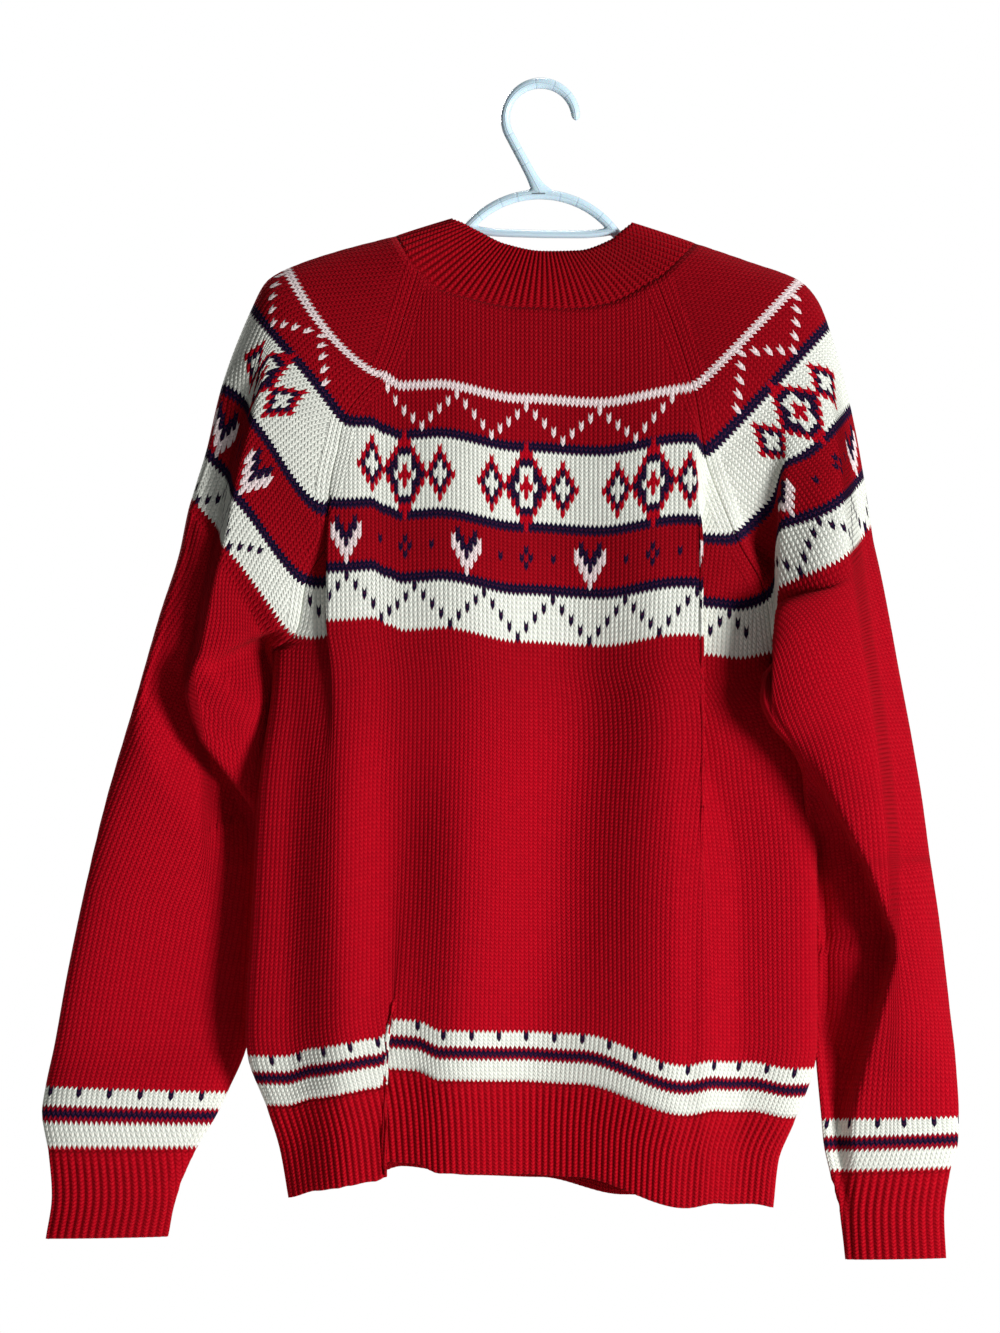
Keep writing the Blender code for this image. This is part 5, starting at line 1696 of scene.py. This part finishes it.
@dataclass
class Hanger:
    """A moulded hanger: a hook on a short neck, an arch, two arms and a bar under the arch."""

    hub: tuple[float, float] = (1.0, -76.5)  # x and z of the arch's crown
    tilt: float = math.radians(1.05)
    depth: float = 3.4  # half the thickness from near to far
    hook_radius: float = 25.4  # to the middle of the rod
    hook_centre: tuple[float, float] = (0.4, -21.8)
    hook_start: float = math.radians(-4)
    hook_end: float = math.radians(204.5)
    hook_points: int = 62
    neck_points: int = 30
    span: float = 55.0  # half the width of the arch
    drop: float = 28.5  # its height
    arm_end: float = 180.0
    arm_slope: float = math.radians(15.5)
    brace_end: float = 51.0
    brace_half: float = 2.9
    round_end: float = 5.0  # length of a rounded end
    least_end: float = 0.08  # share of the thickness left at its tip
    # Painted shade of a slot across the hub, which isn't cut in the mesh: its place, half length and
    # strength
    slot_shade: tuple[float, float] = (-1.0, -76.0)
    slot_half: float = 4.7  # half its length
    slot_edge: float = 1.5  # how strong the slot's painted shade and the marks start, before they are cut to 1
    mark_edge: float = 1.4
    mark_soft: float = 0.5  # millimetres over which they fade by 1
    mark_reach: float = 9.0  # how far from its place a mark is drawn
    sides: int = 24
    step: float = 1.5  # from point to point along a rod
    grain: float = 0.75  # size of the finished mesh's faces
    smoothing: float = 0.5
    smooth_rounds: int = 6

    def arm_drop(self, along: float) -> float:
        """Measures how far the middle line of the arch and its arms lies below the crown.

        Args:
            along: The distance from the middle.

        Returns:
            Millimetres down.
        """
        reach = abs(along)
        radius = (self.span**2 + self.drop**2) / (2 * self.drop)
        if reach <= self.span:
            return radius - math.sqrt(radius**2 - reach**2)
        return self.drop + (reach - self.span) * math.tan(self.arm_slope)

    def tilted(self, along: float, drop: float) -> tuple[float, float]:
        """The place of a point given along the arms and down from the crown."""
        cos, sin = math.cos(self.tilt), math.sin(self.tilt)
        return self.hub[0] + along * cos - drop * sin, self.hub[1] - along * sin - drop * cos

    def lines(self) -> list[tuple[np.ndarray, np.ndarray, tuple[bool, bool]]]:
        """Draws the rods.

        Returns:
            For each rod its middle line, half its height along it, and which ends are rounded.
        """
        along = np.arange(-self.arm_end, self.arm_end + self.step / 2, self.step)
        arms = np.array([self.tilted(a, self.arm_drop(a)) for a in along])
        arms_half = ARCH_HALF.at("half", np.abs(along))
        angles = np.linspace(self.hook_start, self.hook_end, self.hook_points)
        centre = np.array(self.hook_centre)
        hook = centre + self.hook_radius * np.stack([np.cos(angles), np.sin(angles)], axis=1)
        shares = np.linspace(0, 1, self.neck_points + 1)[1:, None]
        neck = hook[-1] + (np.array(self.hub) - hook[-1]) * shares
        round_hook = np.linspace(0, 1, self.hook_points)
        halves = [HOOK_HALF.at("half", round_hook), NECK_HALF.at("half", shares[:, 0])]
        reach = np.arange(-self.brace_end, self.brace_end + self.step / 2, self.step)
        brace = np.array([self.tilted(a, float(BRACE.at("drop", abs(a)))) for a in reach])
        return [
            (np.concatenate([hook, neck]), np.concatenate(halves), (True, False)),
            (arms, arms_half, (True, True)),
            (brace, np.full(len(brace), self.brace_half), (False, False)),
        ]

    def tube(self, path: np.ndarray, halves: np.ndarray, ends: tuple[bool, bool]) -> bpy.types.Object:
        """Sweeps one closed tube.

        Args:
            path: Its middle line, as x and z.
            halves: Half of its height across the line.
            ends: Which ends are rounded.

        Returns:
            An object that isn't kept.
        """
        run = np.gradient(path, axis=0)
        run /= np.linalg.norm(run, axis=1, keepdims=True)
        across = np.stack([-run[:, 1], run[:, 0]], axis=1)
        length = arc_length(path)
        scale = np.ones(len(path))
        for rounded, distance in zip(ends, (length, length[-1] - length)):
            if rounded:
                tip = 1 - np.clip(distance / self.round_end, 0, 1)
                scale *= blunt(tip, 2.0).clip(self.least_end, 1)
        angles = np.arange(self.sides) * 2 * math.pi / self.sides
        sines, cosines = np.sin(angles), np.cos(angles)
        build = bmesh.new()
        rings = []
        for centre, side, half in zip(path, across, np.stack([halves * scale, self.depth * scale], axis=1)):
            offset = side[None, :] * (half[0] * sines)[:, None]
            ring = [(centre[0] + o[0], y, centre[1] + o[1]) for o, y in zip(offset, half[1] * cosines)]
            rings.append([build.verts.new([value * MM for value in point]) for point in ring])
        for ring, following in zip(rings, rings[1:]):
            for k in range(self.sides):
                n = (k + 1) % self.sides
                build.faces.new([ring[k], ring[n], following[n], following[k]])
        build.faces.new(rings[0])
        build.faces.new(rings[-1])
        bmesh.ops.recalc_face_normals(build, faces=build.faces)
        mesh = bpy.data.meshes.new("tube")
        build.to_mesh(mesh)
        build.free()
        piece = bpy.data.objects.new("tube", mesh)
        bpy.context.collection.objects.link(piece)
        return piece

    def build(self, finish: Moulding) -> bpy.types.Object:
        """Joins the tubes, softens where they meet and marks the moulding's lines.

        Args:
            finish: The plastic.

        Returns:
            The hanger.
        """
        lines = self.lines()
        tubes = [self.tube(*line) for line in lines]
        for tube in tubes[1:]:
            union = tubes[0].modifiers.new("union", "BOOLEAN")
            union.operation, union.solver, union.object = "UNION", "EXACT", tube
        remesh = tubes[0].modifiers.new("remesh", "REMESH")
        remesh.mode, remesh.voxel_size = "VOXEL", self.grain * MM
        smooth = tubes[0].modifiers.new("smooth", "SMOOTH")
        smooth.factor, smooth.iterations = self.smoothing, self.smooth_rounds
        graph = bpy.context.evaluated_depsgraph_get()
        mesh = bpy.data.meshes.new_from_object(tubes[0].evaluated_get(graph))
        mesh.name = "hanger"
        for tube in tubes:
            bpy.data.objects.remove(tube, do_unlink=True)
        mesh.materials.clear()
        self.mark(mesh, [line[0] for line in lines])
        mesh.shade_smooth()
        mesh.materials.append(finish.material())
        piece = bpy.data.objects.new("moulded_hanger", mesh)
        bpy.context.collection.objects.link(piece)
        return piece

    def mark(self, mesh: bpy.types.Mesh, paths: list[np.ndarray]) -> None:
        """Writes how far along and across its tube each point lies, where the mould left marks, and where
        the slot's shade is painted.

        Args:
            mesh: The hanger.
            paths: The tubes' middle lines.
        """
        points = np.empty(len(mesh.vertices) * 3)
        mesh.vertices.foreach_get("co", points)
        points = points.reshape(-1, 3) / MM
        nearest = np.full(len(points), np.inf)
        across, along = np.zeros(len(points)), np.zeros(len(points))
        for number, path in enumerate(paths):
            length = arc_length(path) + TUBE_APART * number
            for k in range(len(path) - 1):
                run = path[k + 1] - path[k]
                size = np.linalg.norm(run)
                gap = points[:, [0, 2]] - path[k]
                share = np.clip(gap @ run / size**2, 0, 1)
                away = gap - share[:, None] * run
                distance = np.linalg.norm(away, axis=1)
                closer = distance < nearest
                nearest = np.where(closer, distance, nearest)
                side = (run[0] * away[:, 1] - run[1] * away[:, 0]) / size
                across = np.where(closer, side, across)
                along = np.where(closer, length[k] + share * size, along)
        marks = np.zeros(len(points))
        for x, z in MOULD_MARKS:
            away = np.hypot(points[:, 0] - x, points[:, 2] - z)
            own = np.argmin(away + np.abs(points[:, 1] + self.depth))
            spot = points[own]
            near = np.hypot(points[:, 0] - spot[0], points[:, 2] - spot[2]) < self.mark_reach
            beside = np.abs(along - along[own]) / self.mark_soft
            marks = np.maximum(marks, near * np.clip(self.mark_edge - beside, 0, 1))
        # Painted shade: a dark line where the slot crosses the hub's near side
        slot_shade = np.clip(self.slot_edge - np.abs(points[:, 2] - self.slot_shade[1]) / self.mark_soft, 0, 1)
        slot_shade *= (np.abs(points[:, 0] - self.slot_shade[0]) < self.slot_half) & (points[:, 1] < 0)
        for name, values in (("slot_shade", slot_shade), ("across", across), ("along", along), ("mark", marks)):
            attribute = mesh.attributes.new(name=name, type="FLOAT", domain="POINT")
            attribute.data.foreach_set("value", values.astype(np.float32))


@dataclass(frozen=True)
class Lamp:
    """A soft square light."""

    name: str
    place: tuple[float, float, float]
    size: float
    power: float  # watts


@dataclass
class Studio:
    """A pale floor, a white surround, soft lights and a long lens. Its sizes are metres."""

    floor_size: float = 2.4
    floor_level: float = -1.0
    floor_grey: float = 0.8
    floor_roughness: float = 0.9
    eye: tuple[float, float, float] = (-0.0288, -6.0, -0.4165)
    lens: float = 225.0  # millimetres, as is the sensor
    sensor: float = 36.0
    farthest: float = 50.0
    glow: float = 0.10  # how bright the even light is
    lamps: tuple[Lamp, ...] = (
        Lamp("key", (5.45, -4.3, -0.75), 1.9, 600),
        Lamp("behind", (-3.2, 7.3, 1.5), 2.5, 560),
        Lamp("above", (0.0, 2.2, 5.5), 2.0, 210),
    )

    def floor(self) -> None:
        """Lays the floor."""
        half, z = self.floor_size / 2, self.floor_level
        mesh = bpy.data.meshes.new("floor")
        corners = [(-half, -half, z), (half, -half, z), (half, half, z), (-half, half, z)]
        mesh.from_pydata(corners, [], [(0, 1, 2, 3)])
        shader = Shader("pale floor")
        grey = self.floor_grey
        shader.set(Base_Color=(grey, grey, grey, 1.0), Roughness=self.floor_roughness)
        mesh.materials.append(shader.material)
        piece = bpy.data.objects.new("floor", mesh)
        bpy.context.collection.objects.link(piece)

    def hang(self, lamp: Lamp) -> None:
        """Hangs one light so that it faces the jumper.

        Args:
            lamp: The light.
        """
        data = bpy.data.lights.new(lamp.name, "AREA")
        data.size, data.energy = lamp.size, lamp.power
        light = bpy.data.objects.new(lamp.name, data)
        light.location = lamp.place
        aim = Vector((self.eye[0], 0, self.eye[2])) - Vector(lamp.place)
        light.rotation_euler = aim.to_track_quat("-Z", "Y").to_euler()
        bpy.context.collection.objects.link(light)

    def surround(self) -> None:
        """Lights everything evenly, and shows white behind the jumper."""
        world = bpy.data.worlds.new("surround")
        bpy.context.scene.world = world
        world.use_nodes = True
        tree = world.node_tree
        even = tree.nodes["Background"]
        even.inputs["Color"].default_value = (self.glow, self.glow, self.glow, 1.0)
        seen = tree.nodes.new("ShaderNodeBackground")
        seen.inputs["Color"].default_value = (1.0, 1.0, 1.0, 1.0)
        rays = tree.nodes.new("ShaderNodeLightPath")
        choice = tree.nodes.new("ShaderNodeMixShader")
        tree.links.new(rays.outputs["Is Camera Ray"], choice.inputs[0])
        tree.links.new(even.outputs[0], choice.inputs[1])
        tree.links.new(seen.outputs[0], choice.inputs[2])
        tree.links.new(choice.outputs[0], tree.nodes["World Output"].inputs[0])

    def camera(self) -> None:
        """Sets up the camera, level and square to the jumper."""
        data = bpy.data.cameras.new("camera")
        data.lens, data.sensor_width, data.sensor_fit = self.lens, self.sensor, "AUTO"
        data.clip_end = self.farthest
        camera = bpy.data.objects.new("camera", data)
        camera.location = self.eye
        camera.rotation_euler = (math.radians(90), 0, 0)
        bpy.context.collection.objects.link(camera)
        bpy.context.scene.camera = camera

    def build(self) -> None:
        """Builds the whole studio."""
        self.floor()
        for lamp in self.lamps:
            self.hang(lamp)
        self.surround()
        self.camera()
        bpy.context.scene.view_settings.view_transform = "Standard"


def dress(node: str, sheet: Sheet, finishes: dict[str, bpy.types.Material]) -> None:
    """Puts one knitted piece in the scene.

    Args:
        node: The CAD node it stands for.
        sheet: The piece.
        finishes: The materials of plain knitting and rib.
    """
    mesh = Shell(sheet).mesh()
    kind = "panel" if node.endswith("panel") else "sleeve"
    rib = sheet.relief is Relief.RIB
    if rib:
        kind = "collar" if node == "neckband" else "rib"
    mesh.materials.append(finishes[kind])
    piece = bpy.data.objects.new(sheet.name.replace(" ", "_") + "_knit", mesh)
    bpy.context.collection.objects.link(piece)
    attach(piece, ROOT)
    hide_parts(node)
    across = np.linalg.norm(np.diff(sheet.places, axis=1), axis=2)
    down = np.linalg.norm(np.diff(sheet.places, axis=0), axis=2)
    width = float(across.sum(axis=1).max())
    length = float(down.sum(axis=0).max())
    faces = sum(len(p.vertices) - 2 for p in mesh.polygons)
    LOG.info("%s: %.0f x %.0f mm flat, %d triangles", piece.name, width, length, faces)


def main() -> None:
    """Builds and dresses every piece."""
    logging.basicConfig(level=logging.INFO, format="%(message)s")
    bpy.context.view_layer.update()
    finishes = {
        "panel": Knitting("fair isle panel", Pattern.PANEL, Relief.PLAIN).material(),
        "sleeve": Knitting("fair isle sleeve", Pattern.SLEEVE, Relief.PLAIN).material(),
        "rib": Knitting("ribbing", Pattern.NONE, Relief.RIB).material(),
        "collar": Knitting("shaded collar ribbing", Pattern.NONE, Relief.RIB, SHADED_COLLAR_WOOL).material(),
    }
    garment = Garment()
    sheets = garment.pieces()
    sheets["neckband"] = Neckband().sheet(garment.neck_ring())
    join_normals(list(sheets.values()))
    for node, sheet in sheets.items():
        dress(node, sheet, finishes)
    hanger = Hanger().build(Moulding())
    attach(hanger, ROOT)
    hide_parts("hanger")
    LOG.info("%s: %d faces", hanger.name, len(hanger.data.polygons))
    Studio().build()


if __name__ == "__main__":
    main()
